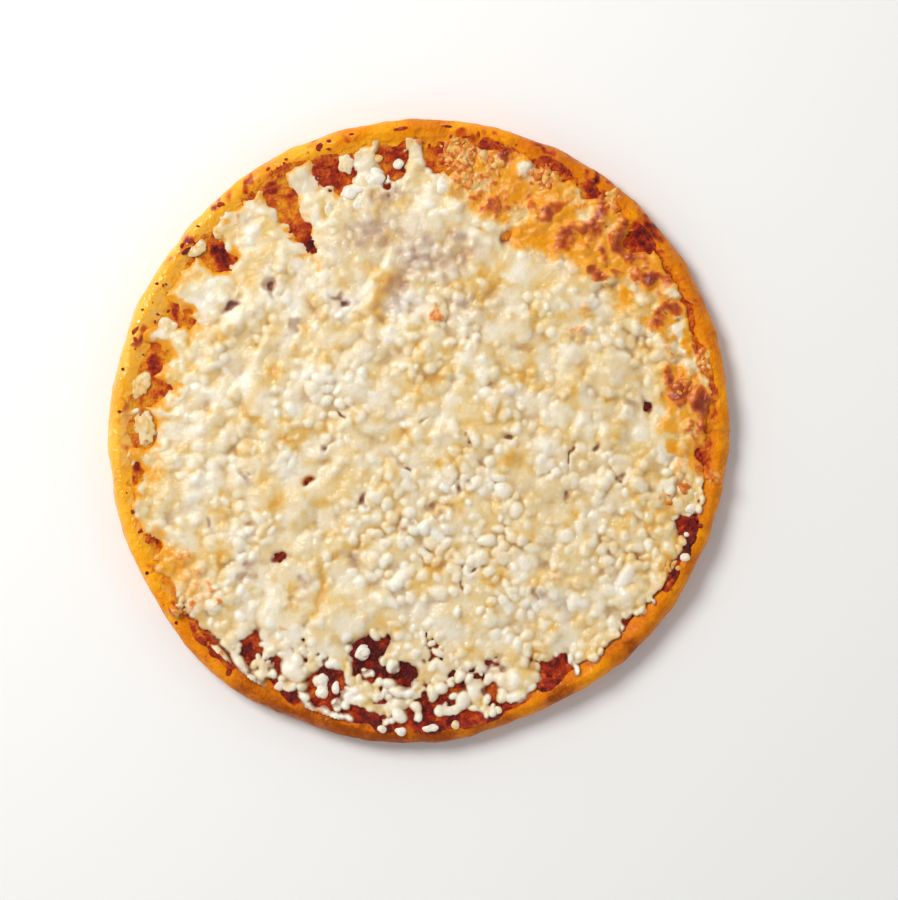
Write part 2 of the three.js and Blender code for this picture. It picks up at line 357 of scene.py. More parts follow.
# ---- crust ----
crustLook = {
    "puffs": [(31, 0.5), (12, 0.42), (6, 0.26), (3, 0.12)],  # size and height of its swells
    "ridges": {"bearing": 8, "halfWidth": 24, "height": 0.22, "spacing": 2.9},
    "film": (165, 48),  # bearing and half width of the part under a film of cheese
    "wet": (158, 42),  # and of the oily part
    # browning by bearing, partly painted shade: darkest at the bottom and right, away from the light,
    # palest at the lit upper left
    "bakeAndShade": [  # by bearing
        (0, 0.66), (24, 0.62), (38, 0.76), (48, 0.74), (60, 0.68), (84, 0.5), (108, 0.46), (120, 0.4),
        (132, 0.2), (150, 0.03), (168, 0.04), (180, 0.14), (192, 0.22), (204, 0.4), (216, 0.54),
        (228, 0.62), (240, 0.86), (264, 1.0), (276, 0.95), (288, 0.84), (312, 0.7), (330, 0.66),
        (348, 0.66), (360, 0.68),
    ],
    "sauceStain": [  # by bearing, on the inner slope
        (0, 0.9), (12, 0.35), (24, 0.5), (36, 0.95), (60, 1.0), (72, 0.7), (84, 0.3), (96, 0.1),
        (110, 0.1), (120, 0.18), (140, 0.14), (180, 0.13), (200, 0.2), (215, 0.3), (235, 0.7),
        (262, 1.15), (280, 0.55), (300, 0.45), (340, 0.25), (360, 0.9),
    ],
    "stains": [  # browned or sauce-stained places: x, y, length, width, bearing, amount
        (139, 18, 44, 6, 96, 0.55), (129, 66, 30, 7, 118, 0.5), (112, 96, 34, 9, 128, 0.85),
        (86, 120, 26, 8, 146, 0.85), (60, 135, 26, 9, 157, 0.8), (30, 140, 30, 8, 170, 0.8),
        (2, 141, 18, 6, 180, 0.5), (13, 149, 9, 2, -5, 1.4), (-33, 140, 12, 5, 14, 0.5),
        (-49, 138, 5, 7, 10, 1.0), (-66, 124, 20, 6, 28, 0.5), (-84, 117, 24, 7, 40, 0.6),
        (-97, 110, 5, 5, 0, 0.8), (-110, 90, 12, 8, 40, 0.8), (-113, 88, 22, 6, 55, 0.4),
        (-133, 44, 18, 5, 72, 0.7), (-140, 6, 40, 5, 90, 0.45), (-137, -34, 26, 5, 104, 0.5),
        (-124, -70, 22, 5, 120, 0.4), (-116, -84, 6, 4, 0, 0.8), (-98, -109, 16, 4, 132, 0.5),
        (140, -32, 30, 5, 76, 0.4), (110, -90, 30, 4, 50, 0.3),
    ],
}  # fmt: skip


# how far the dough has puffed up, from the bearing, the distance in from the edge and the height
def puff(angle, inward, z):
    arc = angle * meanRadius
    lift = 0
    for seed, (size, height) in enumerate(crustLook["puffs"]):
        lift = lift + height * softNoise(arc, z * 1.5 + inward, size, 11 + seed)
    ridge = crustLook["ridges"]
    ripple = np.sin((inward + 1.6 * softNoise(arc, inward, 14, 5)) * fullTurn / ridge["spacing"])
    ripple = ripple * nearBearing(angle, ridge["bearing"], ridge["halfWidth"]) * (z > 8)
    lift = lift + ridge["height"] * ripple
    return lift * ramp(z, 3) * ramp(60 - inward, 20) * (0.35 + 0.65 * ramp(26 - inward, 8))


# height of the puffed dough that the toppings lie on
def bakedTop(x, y):
    r, angle = polar(x, y)
    top = doughTop(x, y)
    inward = meanRadius * (1 - r / outline(angle))
    return top + puff(angle, inward, top) * (1 - 0.6 * ramp(6 - inward, 6))


def makeCrust(material):
    section = [(meanRadius - inward, z) for inward, z in dough["section"]]
    curve = smoothLine(section, dough["ringSpacing"])
    hidden = [(r, dough["floorHeight"]) for r in dough["hiddenRings"]]
    underside = [(r, 0) for r in dough["undersideRings"]]
    mesh = turnedMesh("crust_dough", underside + [tuple(p) for p in curve] + hidden, dough["turnSteps"])
    x, y, z = readPoints(mesh).T
    r, angle = polar(x, y)
    stretch = outline(angle) / meanRadius
    inward = meanRadius - r
    z = z + unevenness(angle) * ramp(z - dough["floorHeight"], 4) * (inward < 30)
    # puffs push the rim out along its own slope
    lift = puff(angle, inward, z)
    outwards = ramp(6 - inward, 6)
    x = x * stretch + np.cos(angle) * lift * outwards
    y = y * stretch + np.sin(angle) * lift * outwards
    z = np.maximum(z + lift * (1 - 0.6 * outwards), 0)
    writePoints(mesh, np.column_stack([x, y, z]))
    # how far the dough has browned, with painted shade mixed in: more on the right and at the bottom, where
    # the light falls away, and underneath
    arc = angle * meanRadius
    bearings, amounts = zip(*crustLook["bakeAndShade"])
    side = np.interp(np.degrees(angle), bearings, amounts)
    down = inward * 1.4 - 1.6 * z
    patchy = 0.13 * softNoise(arc, down, 19, 31) + 0.13 * softNoise(arc, down, 8, 32)
    # painted shade on the low outer side, darker towards the foot, partly real browning
    low = 0.26 * ramp(10 - z, 8) + 0.34 * ramp(4 - z, 4)
    addAttribute(mesh, "bakeAndShade", np.clip(side + patchy + low * (1 - 0.5 * side), 0, 1))
    stain = marks(x, y, crustLook["stains"], 2.2) * (0.65 + 0.5 * softNoise(x, y, 2.6, 33))
    bearings, amounts = zip(*crustLook["sauceStain"])
    much = np.interp(np.degrees(angle), bearings, amounts) * ramp(inward - 3.5, 6)
    inner = much * (0.42 + 0.5 * softNoise(x, y, 4.5, 34) + 0.35 * softNoise(x, y, 2, 35))
    addAttribute(mesh, "stain", np.clip(np.maximum(stain, inner) * ramp(z - 8.5, 1.5), 0, 1.4))
    # cheese run out to a film, and the wet, oily part of the rim
    byFilm = nearBearing(angle, *crustLook["film"]) * ramp(inward - 5, 3)
    film = byFilm * (0.3 + 0.8 * softNoise(x, y, 7, 36) + 0.4 * softNoise(x, y, 2.8, 37))
    addAttribute(mesh, "film", np.clip(film * ramp(z - 8.5, 1.5), 0, 1))
    wet = nearBearing(angle, *crustLook["wet"]) + 0.25 * softNoise(x, y, 12, 38)
    addAttribute(mesh, "wet", np.clip(wet, 0, 1))
    return addPiece("crust_dough", mesh, material, ["crust"])


# baked dough, brushed with oil: satin, golden, browner where the oven caught it and where shade is painted
# in
def doughMaterial():
    material, tree = newMaterial("bakedDough")
    place = addNode(tree, "ShaderNodeTexCoord").outputs["Object"]
    mottle = carried(tree, noise(tree, place, 240, 5, 0.65), -0.3, 0.3)
    colour = rampOf(tree, summed(tree, mottle, paint(tree, "bakeAndShade")), [
        (0.0, "#FFBE38"), (0.3, "#FFAF1C"), (0.55, "#F29206"), (0.8, "#D87404"), (1.0, "#A04804"),
    ])  # fmt: skip
    # sauce and oil baked into the rim's inner slope, from orange to rust and near black
    stained = summed(tree, mottle, paint(tree, "stain"), 0.9)
    rust = rampOf(tree, stained, [
        (0.0, "#F39A1B"), (0.35, "#E37A16"), (0.6, "#BE4A14"), (0.85, "#7F220E"), (1.0, "#3E130A"),
    ])  # fmt: skip
    colour = laidOver(tree, colour, rust, stained, 0.1, 0.45)
    colour = laidOver(tree, colour, hexColour("#F8C064"), paint(tree, "film"), 0.15, 0.75, 0.55)
    # a few brown specks of about a millimetre
    speck = addNode(tree, "ShaderNodeTexVoronoi", None, {"Vector": place, "Scale": 190})
    lot = addNode(tree, "ShaderNodeSeparateColor", None, {"Color": speck.outputs["Color"]}).outputs[0]
    chosen = reckoned(tree, "GREATER_THAN", lot, 0.93)
    inSpeck = carried(tree, speck.outputs["Distance"], 0.85, 0, 0.08, 0.2)
    specked = reckoned(tree, "MULTIPLY", inSpeck, chosen)
    skin = bumped(tree, noise(tree, place, 900, 3), 0.35, 0.0003)
    wrinkled = bumped(tree, noise(tree, place, 330, 2, 0.5, 0.6), 0.8, 0.0018, skin)
    wet = paint(tree, "wet")
    return finishMaterial(material, {
        "Base Color": mixed(tree, specked, colour, hexColour("#8F4312")),
        "Roughness": carried(tree, wet, 0.42, 0.25),
        "IOR": 1.16,
        "Coat Weight": carried(tree, wet, 0.05, 1, 0.1),
        "Coat Roughness": 0.07,
        "Coat IOR": 1.5,
        "Coat Normal": wrinkled,
        "Normal": wrinkled,
        "Subsurface Weight": 0.12,
        "Subsurface Radius": (0.003, 0.0014, 0.0005),
        "Subsurface Scale": 1.0,
    })  # fmt: skip


# ---- tomato sauce ----
sauceLook = {
    "hiddenRings": [0, 30, 60, 85],
    "undersideRings": (130, 100, 50, 0),
    "firstRing": 94.0,
    "lastRing": 145.5,
    "ringSpacing": 0.78,
    "turnSteps": 1020,
    "pulp": [(4.6, 0.34), (2.1, 0.4), (1.15, 0.3)],  # size and height of its lumps
    # where it keeps in from the rim: bearing, half width and how far
    "drawnBack": [(318, 30, 5), (158, 42, 5), (100, 20, 4), (265, 16, -2.5)],
    # how red the sauce shows by bearing: thin and oily at the upper left, thick and dark at the bottom
    "redness": [
        (0, 0.4), (35, 0.42), (60, 0.45), (75, 0.42), (100, 0.4), (112, 0.44), (126, 0.3), (150, 0.22),
        (180, 0.2), (214, 0.26), (230, 0.68), (245, 0.76), (300, 0.76), (344, 0.8), (352, 0.6),
        (360, 0.4),
    ],
    "redPlaces": [
        (-94.5, 84, 19, 12, -62, 1.1), (-71.5, 116, 9, 6, 40, 0.9), (-81, 111, 10, 7, 0, 0.6),
        (-116.5, 57, 6, 13, 8, 0.85), (-127, 31.5, 10, 10, 0, 1), (-134, -17, 5, 6, 0, 0.95),
        (-127, -52, 10, 6, -50, 0.95), (-135, -48, 6, 4, 0, 0.8), (-103, -93, 9, 7, -60, 1),
        (-84, -106, 18, 11, 35, 1), (-44, 120, 26, 17, 42, 0.82), (-28, 125, 22, 10, 10, 0.9),
        (-9, 125, 12, 8, 0, 0.9), (-2, 136, 6, 14, 0, 0.8), (32, 138, 9, 7, 0, 0.85),
        (45, 133, 10, 6, -10, 0.8), (84, 117, 14, 9, -30, 1), (108.5, 92.5, 20, 12, 108, 1),
        (63, 128, 18, 8, -22, 0.75), (116, 72, 12, 6, 120, 0.7), (128, -45, 8, 16, -10, 1),
        (123, -72, 12, 8, 55, 0.9), (66, -114, 15, 15, 0, 0.95),
    ],
    "orangePlaces": [
        (-57.5, 99, 26, 11, 88, 0.5), (-44, -131, 10, 7, 0, 0.75), (67, -115, 7, 7, 0, 0.8),
        (7, 124, 11, 11, 0, 0.7), (-82, 121, 18, 9, 40, 0.8), (51, -131, 14, 7, 20, 0.7),
        (-66, -130, 10, 6, -30, 0.5), (45, -128, 12, 6, 0, 0.6), (96, 106, 18, 10, -40, 0.7),
        (123, 78, 22, 7, 118, 0.8), (43, 94, 14, 10, 0, 0.8),
    ],
}  # fmt: skip


# thickness of the sauce over the dough, below zero where there is none
def sauceDepth(x, y):
    r, angle = polar(x, y)
    ragged = 2.2 * softNoise(x, y, 9, 41) + 1.4 * softNoise(x, y, 4, 42)
    patches = marks(x, y, sauceLook["redPlaces"], 1.5)
    inside = sauceReach(angle) - 0.5 - r + ragged
    for bearing, wide, far in sauceLook["drawnBack"]:
        inside = inside - far * nearBearing(angle, bearing, wide)
    inside = inside + 7 * patches * ramp(outline(angle) - 4 - r, 3)
    depth = sauce["thickness"] * ramp(inside, 7) - (1 - ramp(inside + 0.8, 1.2))
    return depth + 0.2 * softNoise(x, y, 13, 43) * ramp(inside, 6)


def sauceRedness(x, y):
    r, angle = polar(x, y)
    bearings, amounts = zip(*sauceLook["redness"])
    base = np.interp(np.degrees(angle), bearings, amounts)
    base = base + (0.95 - base) * ramp(122 - r, 8) * (1 - marks(x, y, sauceLook["orangePlaces"]))
    base = base + 0.2 * softNoise(x, y, 6, 44) + 0.18 * softNoise(x, y, 2.3, 45)
    places = marks(x, y, sauceLook["redPlaces"], 1.8) * (0.85 + 0.2 * softNoise(x, y, 1.8, 46))
    red = np.maximum(base, places)
    red = red * (1 - 0.45 * marks(x, y, sauceLook["orangePlaces"], 1.8))
    return np.clip(red, 0, 1)


def makeSauce(material):
    rings = list(np.arange(sauceLook["firstRing"], sauceLook["lastRing"], sauceLook["ringSpacing"]))
    line = [(r, 10) for r in sauceLook["hiddenRings"] + rings]
    line += [(r, 8) for r in (rings[-1], *sauceLook["undersideRings"])]
    mesh = turnedMesh("tomato_sauce", line, sauceLook["turnSteps"])
    points = readPoints(mesh)
    angle = polar(points[:, 0], points[:, 1])[1]
    points[:, :2] *= (outline(angle) / meanRadius)[:, None]
    x, y, z = points.T
    depth = sauceDepth(x, y)
    wrinkled = [1 - 2 * abs(softNoise(x, y, size, 51 + i)) for i, (size, _) in enumerate(sauceLook["pulp"])]
    pulp = sum(height * form for (_, height), form in zip(sauceLook["pulp"], wrinkled))
    red = sauceRedness(x, y)
    top = bakedTop(x, y)
    thick = np.where(depth > 0, depth * (0.35 + 0.65 * red), depth)
    # it keeps low under the cheese
    covered = ramp(wholeDepth(x, y) - 1.5, 1.5)
    wrinkles = pulp * ramp(depth - 0.1, 0.8) * red * (1 - covered)
    points[:, 2] = np.where(z < 9, top - 3, top + thick + wrinkles - covered)
    writePoints(mesh, points)
    addAttribute(mesh, "red", np.clip(red + 0.12 * pulp, 0, 1))
    return addPiece("tomato_sauce", mesh, material, ["sauce"])


# cooked tomato pulp with oil: wet, deep red where thick, orange where it thins out on the dough
def sauceMaterial():
    material, tree = newMaterial("tomatoSauce")
    place = addNode(tree, "ShaderNodeTexCoord").outputs["Object"]
    spread = carried(tree, noise(tree, place, 520, 5, 0.7), -0.5, 0.5)
    colour = rampOf(tree, summed(tree, spread, paint(tree, "red")), [
        (0.0, "#F8AE1E"), (0.22, "#F08C10"), (0.42, "#DC5E0C"),
        (0.62, "#B8320A"), (0.82, "#8C1808"), (1.0, "#4E0A05"),
    ])  # fmt: skip
    return finishMaterial(material, {
        "Base Color": colour,
        "Roughness": 0.2,
        "IOR": 1.36,
        "Normal": bumped(tree, noise(tree, place, 800, 3, 0.6), 1.0, 0.002),
    })  # fmt: skip


# ---- cheese ----
cheeseLook = {
    "gridStep": 0.6,
    "discRadius": 144,
    "triangles": 198000,
    "underside": 7.5,
    "heapSpacing": 11,  # masses run together
    "heapSizes": (9, 20),
    "curdSpacing": 4.6,
    "curdSizes": (3.4, 8.0),
    "looseRing": {"bearing": 266, "halfWidth": 32, "depth": 4.6},  # curds lie apart there, on the sauce
    "ranOut": (150, 48),  # bearing and half width of the part with thin edges
    "fringe": (160, 55),  # of the one with an oily fringe
    "whitest": (262, 46),  # and of the whitest one
    "smoothPlaces": [  # melted flat: x, y, length, width, bearing, amount
        (-34, -86, 38, 28, 20, 1), (-70, -85, 30, 18, 80, 0.9), (-59, -37, 26, 24, 40, 0.9),
        (-96, -22, 28, 20, 30, 0.7), (-113, -12, 22, 16, 90, 0.7), (-107, 70, 34, 20, 10, 1),
        (-84, 56, 30, 16, 40, 0.8), (-70, 38, 40, 14, 60, 0.8), (-78, 98, 30, 18, -20, 0.8),
        (45, 78, 30, 20, 10, 0.75), (76, 38, 26, 18, 30, 0.75), (91, 28, 26, 24, 80, 1),
        (32, 68, 18, 14, 0, 0.6), (56, -8, 30, 12, 18, 0.9), (54, -29, 18, 14, 0, 0.6),
        (99, -79, 18, 16, 0, 0.8), (75, -97, 24, 18, 0, 0.85), (54, -93, 16, 12, 0, 0.6),
        (49, -120, 18, 16, 0, 0.9), (62, 106, 44, 34, -20, 0.8), (100, 76, 50, 34, -55, 0.8),
        (126, 36, 34, 16, -72, 1), (125, 12, 28, 20, -80, 0.9), (-20, 20, 26, 18, 30, 0.6),
        (8, -2, 28, 14, 60, 0.5), (-6, 90, 34, 22, 0, 0.5), (-14, 111, 26, 12, 0, 0.8),
        (-52, 103, 12, 18, 80, 1), (-112, -66, 30, 26, -50, 0.2), (-30, 66, 26, 16, 40, 0.4),
        (-110, 30, 24, 14, 60, 0.5), (24, 30, 26, 18, 30, 0.5),
    ],
    "folds": [  # raised folds and lumps: x, y, length, width, bearing, rise
        (48, 127, 16, 12, 0, 0.8), (58, 124, 14, 9, 80, 2.2), (91, 109, 11, 10, 0, 1.6),
        (82, 120, 18, 5, -32, 1.6), (64, 106, 30, 6, 24, 1.5), (76, 98, 30, 6, 8, 1.3),
        (112, 74, 9, 8, 0, 1.8), (86, 75, 9, 7, 0, 1.6), (122, 58, 8, 8, 0, 1.5),
        (95, 90, 9, 8, 0, 1.6), (103, 84, 7, 6, 0, 1.4), (127, 22, 14, 10, 60, 1.6),
        (137, 14, 9, 12, 0, 1.2), (118, 66, 7, 6, 0, 1.2), (70, 88, 7, 6, 0, 1.3),
        (-108, -84, 12, 7, 20, 1.4), (-73, 42, 38, 8, 60, 1.6), (-84, 56, 30, 11, 40, 1.5),
        (-52, 30, 26, 8, 62, 1.1), (-99, 36, 24, 8, 50, 1.1), (-62, 84, 24, 9, -50, 0.9),
        (56, -8, 28, 9, 18, 1.4), (24, -15, 18, 7, 60, 1.0), (-34, -86, 34, 26, 20, 1.3),
        (-70, -85, 29, 16, 80, 1.6), (-59, -37, 24, 20, 40, 1.4), (30, 92, 24, 8, -35, 0.9),
        (100, 52, 22, 8, -40, 0.9), (-107, 70, 32, 16, 10, 1.0), (36, 12, 22, 9, 50, 1.1),
        (-8, -70, 22, 9, 40, 1.0), (49, -120, 16, 14, 0, 1.1), (-36, 34, 20, 8, 70, 1.0),
        (8, 55, 11, 10, 0, 1.5), (54, 124, 14, 14, 0, 1.6), (92, 30, 20, 20, 80, 1.2),
        (-14, 8, 26, 9, 30, 1.0), (70, 66, 24, 10, -30, 1.0), (-90, -50, 22, 10, 60, 0.9),
        (99, -79, 15, 14, 0, 1.2), (75, -97, 18, 12, 0, 0.8), (-16, 48, 22, 10, -20, 1.0),
        (112, 74, 10, 10, 0, 1.4), (97, 90, 10, 9, 0, 1.2), (66, 103, 26, 7, 35, 1.3),
        (84, 96, 24, 7, -14, 1.3), (98, 83, 20, 7, -42, 1.1), (60, 123, 17, 13, -20, 1.8),
        (-119.5, -86, 10, 4.6, 20, 1.8), (-110.4, -78.7, 4, 8.4, 0, 1.6),
        (-123.5, -66, 6.4, 5, 0, 1.4), (-106.3, -64.6, 8, 5, 10, 1.4), (-113.7, -70.4, 6, 5, 0, 1.5),
        (-99.7, -74.5, 7.4, 4.2, -10, 1.3), (-97.2, -82.8, 5, 7, 0, 1.3),
        (-81.5, -120.5, 5, 7, -20, 1.8), (-89.8, -99.3, 4.4, 7.4, -20, 1.6),
        (-107.9, -86, 6, 5, 0, 1.6), (-115.3, -60.5, 7, 5, 0, 1.4), (-94.7, -109, 12, 5, -42, 1.4),
        (-45, 66, 18, 8, 30, 0.9), (20, -52, 20, 9, 30, 0.8), (84, -48, 22, 10, -30, 0.8),
        (-102, 4, 20, 10, 30, 1.0),
    ],
    # cheese that ran in strings: x, y, x, y, width
    "strings": [
        (-66, -102, -60, -118, 7), (-60, -118, -51, -134, 4.6), (-51, -134, -33, -139, 3.4),
        (-93, -103, -76, -124, 4.6), (-28, 118, -36, 111, 2.6), (-58, 110, -53, 120, 4.4),
        (-70, 104, -58, 112, 6), (-84, 112, -74, 104, 5),
    ],
    "thinPlaces": [  # sunken and see-through, the sauce tints them mauve; partly painted shade, mauve-grey around the curds
        (10, 86, 48, 28, 0, 0.8), (-22, 96, 36, 22, 0, 0.72), (28, 62, 34, 20, 0, 0.6),
        (-14, 60, 28, 14, 20, 0.6), (-16, 111, 26, 12, 0, 0.8), (-9, 71, 24, 13, 20, 0.9),
        (66, 16, 11, 7, 0, 0.5), (109, 13, 8, 12, 0, 0.8), (-8, -46, 10, 7, 0, 0.7),
        (-82, -22, 12, 6, -40, 0.6), (50, 40, 13, 7, 10, 0.6), (80, 44, 14, 6, -30, 0.7),
        (20, 35, 15, 6, 10, 0.55), (37, -112, 9, 7, 0, 0.9), (24, -115, 7, 5, 0, 0.7),
        (-72, 68, 9, 6, -40, 1.0), (-38, 62, 9, 5, -60, 0.9), (-45, -8, 10, 6, 50, 0.7),
        (57, -78, 10, 6, -50, 0.6), (-90, 60, 7, 5, 30, 1.0), (-51, 58, 8, 5, -40, 0.9),
        (-59, 48, 6, 10, 0, 0.9), (-82, -66, 16, 10, 40, 0.8), (-56, -75, 20, 9, 35, 0.8),
        (-33, -61, 16, 8, -30, 0.65), (20, -28, 7, 8, 0, 0.9), (8.5, -38, 10, 6, -50, 0.7),
        (-28, -33, 6, 5, 0, 1.0), (-6, -46, 8, 6, 0, 0.8), (44, 94, 9, 8, 0, 1.0),
        (100, 13, 8, 8, 0, 0.7), (-101, -46, 5, 9, 0, 0.8), (32, 60, 22, 8, 15, 0.4),
        (-44, 88, 8, 22, 20, 0.4), (-60, 0, 20, 7, 50, 0.4), (66, -48, 18, 7, -20, 0.35),
    ],
    "barePlaces": [  # more gaps at the bottom
        (-10, -137, 12, 6, 0, 1), (-70, -127, 9, 6, 20, 0.8), (-58, -112, 7, 9, 0, 0.7),
    ],
    "cracks": [  # dark clefts
        (-67, -60, 9, 5, 15, 1.3), (-54, -24, 7, 4.5, 30, 1.3), (43, 94, 8, 5, 20, 1.3),
        (109, 11, 5, 8, 0, 1.3), (43, -2.5, 9, 2.2, 12, 1), (72.5, -13, 12, 2.6, 85, 1),
        (71, -32, 6, 2.6, 80, 1), (85, -7, 6, 2.6, 60, 0.9), (96, -23, 6, 2.4, 30, 0.9),
        (21.5, -71, 13, 2.2, -84, 1), (26, -66.5, 7, 2, 5, 0.9), (-70, 78.3, 8, 3.6, -60, 0.7),
        (3, 4, 9, 2, 70, 0.7), (-5.5, -18, 9, 2, -40, 0.7), (24, -3, 7, 2.6, -60, 0.9),
        (-36.5, 6.6, 7, 2.6, -50, 0.8), (-71.5, 68.5, 5, 4, 0, 1.2), (-90, 60.5, 4, 5, 0, 1.2),
        (-37.5, 62, 7, 2.4, -60, 0.9), (-28, -33, 4, 4, 0, 1.2), (-102, -43, 3, 3, 0, 1),
        (-44, -8, 5, 3, 40, 0.9), (8.5, -38, 8, 2.4, -60, 0.8), (20, -27.7, 3, 5, 0, 1.1),
        (36, -113, 7, 4, 0, 1.2), (24, -115, 5, 3, 0, 0.9), (17.5, -124, 8, 4, -5, 1.3),
        (3.5, -127, 6, 8, 0, 1.3), (-71.6, -114, 4, 4, 0, 1), (2, -111, 4, 3, 0, 1),
        (-80, -20, 7, 2.4, -50, 0.7), (31.5, -124, 5, 4, 0, 1.1),
    ],
    "toastPlaces": [  # browned by the oven
        (8.5, 55, 12, 11, 0, 0.44), (-28, 77, 8, 7, 0, 0.36), (60, 122, 18, 14, -30, 0.6),
        (50, 128, 9, 8, 0, 0.42), (66, 105, 28, 9, 28, 0.72), (80, 97, 26, 9, 8, 0.68),
        (97, 90, 13, 12, 0, 0.78), (112, 74, 12, 11, 0, 0.95), (86, 75, 12, 11, 0, 0.78),
        (97, 77, 10, 9, 0, 0.66), (122, 58, 10, 11, 0, 0.82), (126, 63, 5, 6, 0, 0.85),
        (94, 67, 10, 8, 0, 0.62), (70, 87, 9, 8, 0, 0.72), (76, 49, 12, 5, -10, 0.5),
        (50.5, 42, 5, 4, 0, 0.5), (127, 22, 17, 13, 0, 0.85), (137, 12, 13, 20, 0, 0.9),
        (125, 46, 14, 7, 60, 0.5), (126, -26, 7, 7, 0, 0.5), (119, -33, 4, 8, 0, 0.5),
        (-112, -60, 26, 16, -50, 0.4), (-104, -72, 20, 14, -60, 0.4), (-108, -85, 14, 7, 20, 0.44),
        (-119, -86, 11, 6, 20, 0.64), (-97, -83, 5, 8, 0, 0.42), (-99.7, -74.5, 8, 5, -10, 0.43),
        (-110.4, -78.7, 5, 9, 0, 0.43), (-81.5, -121, 6, 8, -20, 0.5), (-94.7, -109, 13, 6, -42, 0.42),
        (-47, -138, 9, 6, 40, 0.6), (-66, -93, 6, 6, 0, 0.45), (-20, 24, 10, 8, 0, 0.32),
        (35, 10, 14, 12, 0, 0.32), (25, 25, 14, 12, 0, 0.32), (65, -70, 18, 14, 0, 0.3),
        (20, -95, 16, 13, 0, 0.3), (102, 110, 20, 14, -40, 0.66), (-62, 92, 10, 6, 0, 0.45),
        (-88, 100, 14, 9, 40, 0.42), (73, 49, 9, 6, 0, 0.4), (134, 40, 6, 24, 15, 0.45),
        (103, 101, 14, 8, -45, 0.7),
    ],
    "oilPlaces": [  # where oil stands in the cheese
        (68, 91, 36, 18, -10, 0.95), (99, 99, 24, 12, -50, 0.8), (84, 86, 38, 28, -30, 0.75),
        (112, 84, 46, 22, -52, 0.85), (99, 62, 16, 12, 0, 0.65), (80, 59, 10, 8, 0, 0.45),
        (130, 30, 44, 14, -80, 0.6), (137, 33, 14, 10, 80, 0.9), (131, 52, 30, 12, -65, 0.85),
        (60, 118, 54, 16, -30, 0.6), (-57, 99, 20, 8, 88, 0.5), (-86, 96, 18, 10, 30, 0.35),
        (-122, 60, 10, 24, 20, 0.4), (-120, -62, 14, 40, 25, 0.6), (-109, -74, 26, 32, 30, 0.42),
        (-97, -108, 18, 7, -42, 0.3), (-126, -20, 8, 34, 0, 0.45), (-127, -2, 9, 24, 0, 0.45),
        (126, -14, 24, 10, 85, 0.5), (121, 2, 16, 12, 0, 0.6), (84, -66, 16, 14, 0, 0.3),
        (30, 40, 20, 12, 30, 0.22), (-30, -10, 22, 14, 60, 0.22), (60, 30, 16, 12, 0, 0.22),
        (38, -60, 22, 14, 10, 0.22),
    ],
    "pools": [  # clear yellow oil: x, y, length, width, bearing, amount
        (55, 95, 22, 11, 0, 1.3), (66, 113, 10, 6, 30, 1), (71, 104, 10, 5, 60, 1),
        (107, 105, 9, 5, -50, 0.8), (99, 65, 7, 10, 20, 0.9), (129, 42, 6, 15, 10, 1),
        (122, -8, 9, 6, 0, 0.8), (-62, -132, 8, 4, -30, 0.6),
    ],
    "palePlaces": [  # cheese left cream inside the browned part
        (79, 104, 12, 6, 0, 0.75), (101, 65, 26, 11, -38, 0.8), (121, 67, 11, 10, 0, 0.8),
        (127, 40, 10, 30, 14, 0.95), (51, 125, 11, 14, 0, 0.7), (89, 100, 7, 5, 0, 0.5),
        (112, 60, 14, 8, -40, 0.7),
    ],
}  # fmt: skip

# from which distance the oven browned the cheese, by bearing
brownedFrom = [
    (0, 124), (8, 114), (17, 120), (31, 117), (43, 108), (62, 97), (76, 108), (88, 124), (96, 150),
    (345, 150), (352, 130), (360, 124),
]  # fmt: skip

half = meanRadius + 3
step = cheeseLook["gridStep"]
axis = np.arange(-half, half + step, step)
gridX, gridY = np.meshgrid(axis, axis, indexing="ij")


def sample(grid, x, y):
    gx, gy = (x + half) / step, (y + half) / step
    ix, iy = np.clip(gx.astype(int), 0, len(axis) - 2), np.clip(gy.astype(int), 0, len(axis) - 2)
    fx, fy = gx - ix, gy - iy
    low = grid[ix, iy] * (1 - fx) + grid[ix + 1, iy] * fx
    high = grid[ix, iy + 1] * (1 - fx) + grid[ix + 1, iy + 1] * fx
    return low * (1 - fy) + high * fy


def blurred(grid, width):
    reach = int(3 * width / step) + 1
    kernel = np.exp(-0.5 * (np.arange(-reach, reach + 1) * step / width) ** 2)
    kernel /= kernel.sum()
    for direction in (0, 1):
        grid = np.apply_along_axis(np.convolve, direction, grid, kernel, "same")
    return grid


# 0 at the upper left, where the cheese has run, to 1 at the lower right, where its curds stand
def crispness(x, y):
    return ramp(x - y + 110, 300)


# how far the curds have melted into the sheet: 0 crisp, 1 smooth
def melted(x, y):
    drift = 0.36 + 0.34 * softNoise(x, y, 20, 61) + 0.26 * softNoise(x, y, 9, 62) - 0.3 * crispness(x, y)
    return np.clip(np.maximum(drift, 0.92 * marks(x, y, cheeseLook["smoothPlaces"], 3)), 0, 1)


def sheetTop(x, y):
    level = bakedTop(x, y) + sauce["thickness"] + cheese["thickness"]
    hills = 0.6 * swell(x + 40, y - 25) + 0.9 * softNoise(x, y, 15, 63) + 0.5 * softNoise(x, y, 7, 64)
    return level + hills - 0.8


def browned(x, y):
    r, angle = polar(x, y)
    bearings, reaches = zip(*brownedFrom)
    inside = r - np.interp(np.degrees(angle), bearings, reaches)
    return ramp(inside + 3 * softNoise(x, y, 7, 65) + 3, 10)


# points of a shaken triangular lattice over the pizza
def scatter(spacing, seed, shake=0.36):
    draw = np.random.default_rng(seed)
    count = int(meanRadius / spacing) + 2
    column, row = np.meshgrid(np.arange(-count, count + 1), np.arange(-count * 1.2, count * 1.2 + 1))
    x = (column + 0.5 * (row % 2)) * spacing
    y = row * spacing * 0.87
    x = x + draw.uniform(-shake, shake, x.shape) * spacing
    y = y + draw.uniform(-shake, shake, y.shape) * spacing
    near = np.hypot(x, y) < meanRadius
    return x[near], y[near], draw


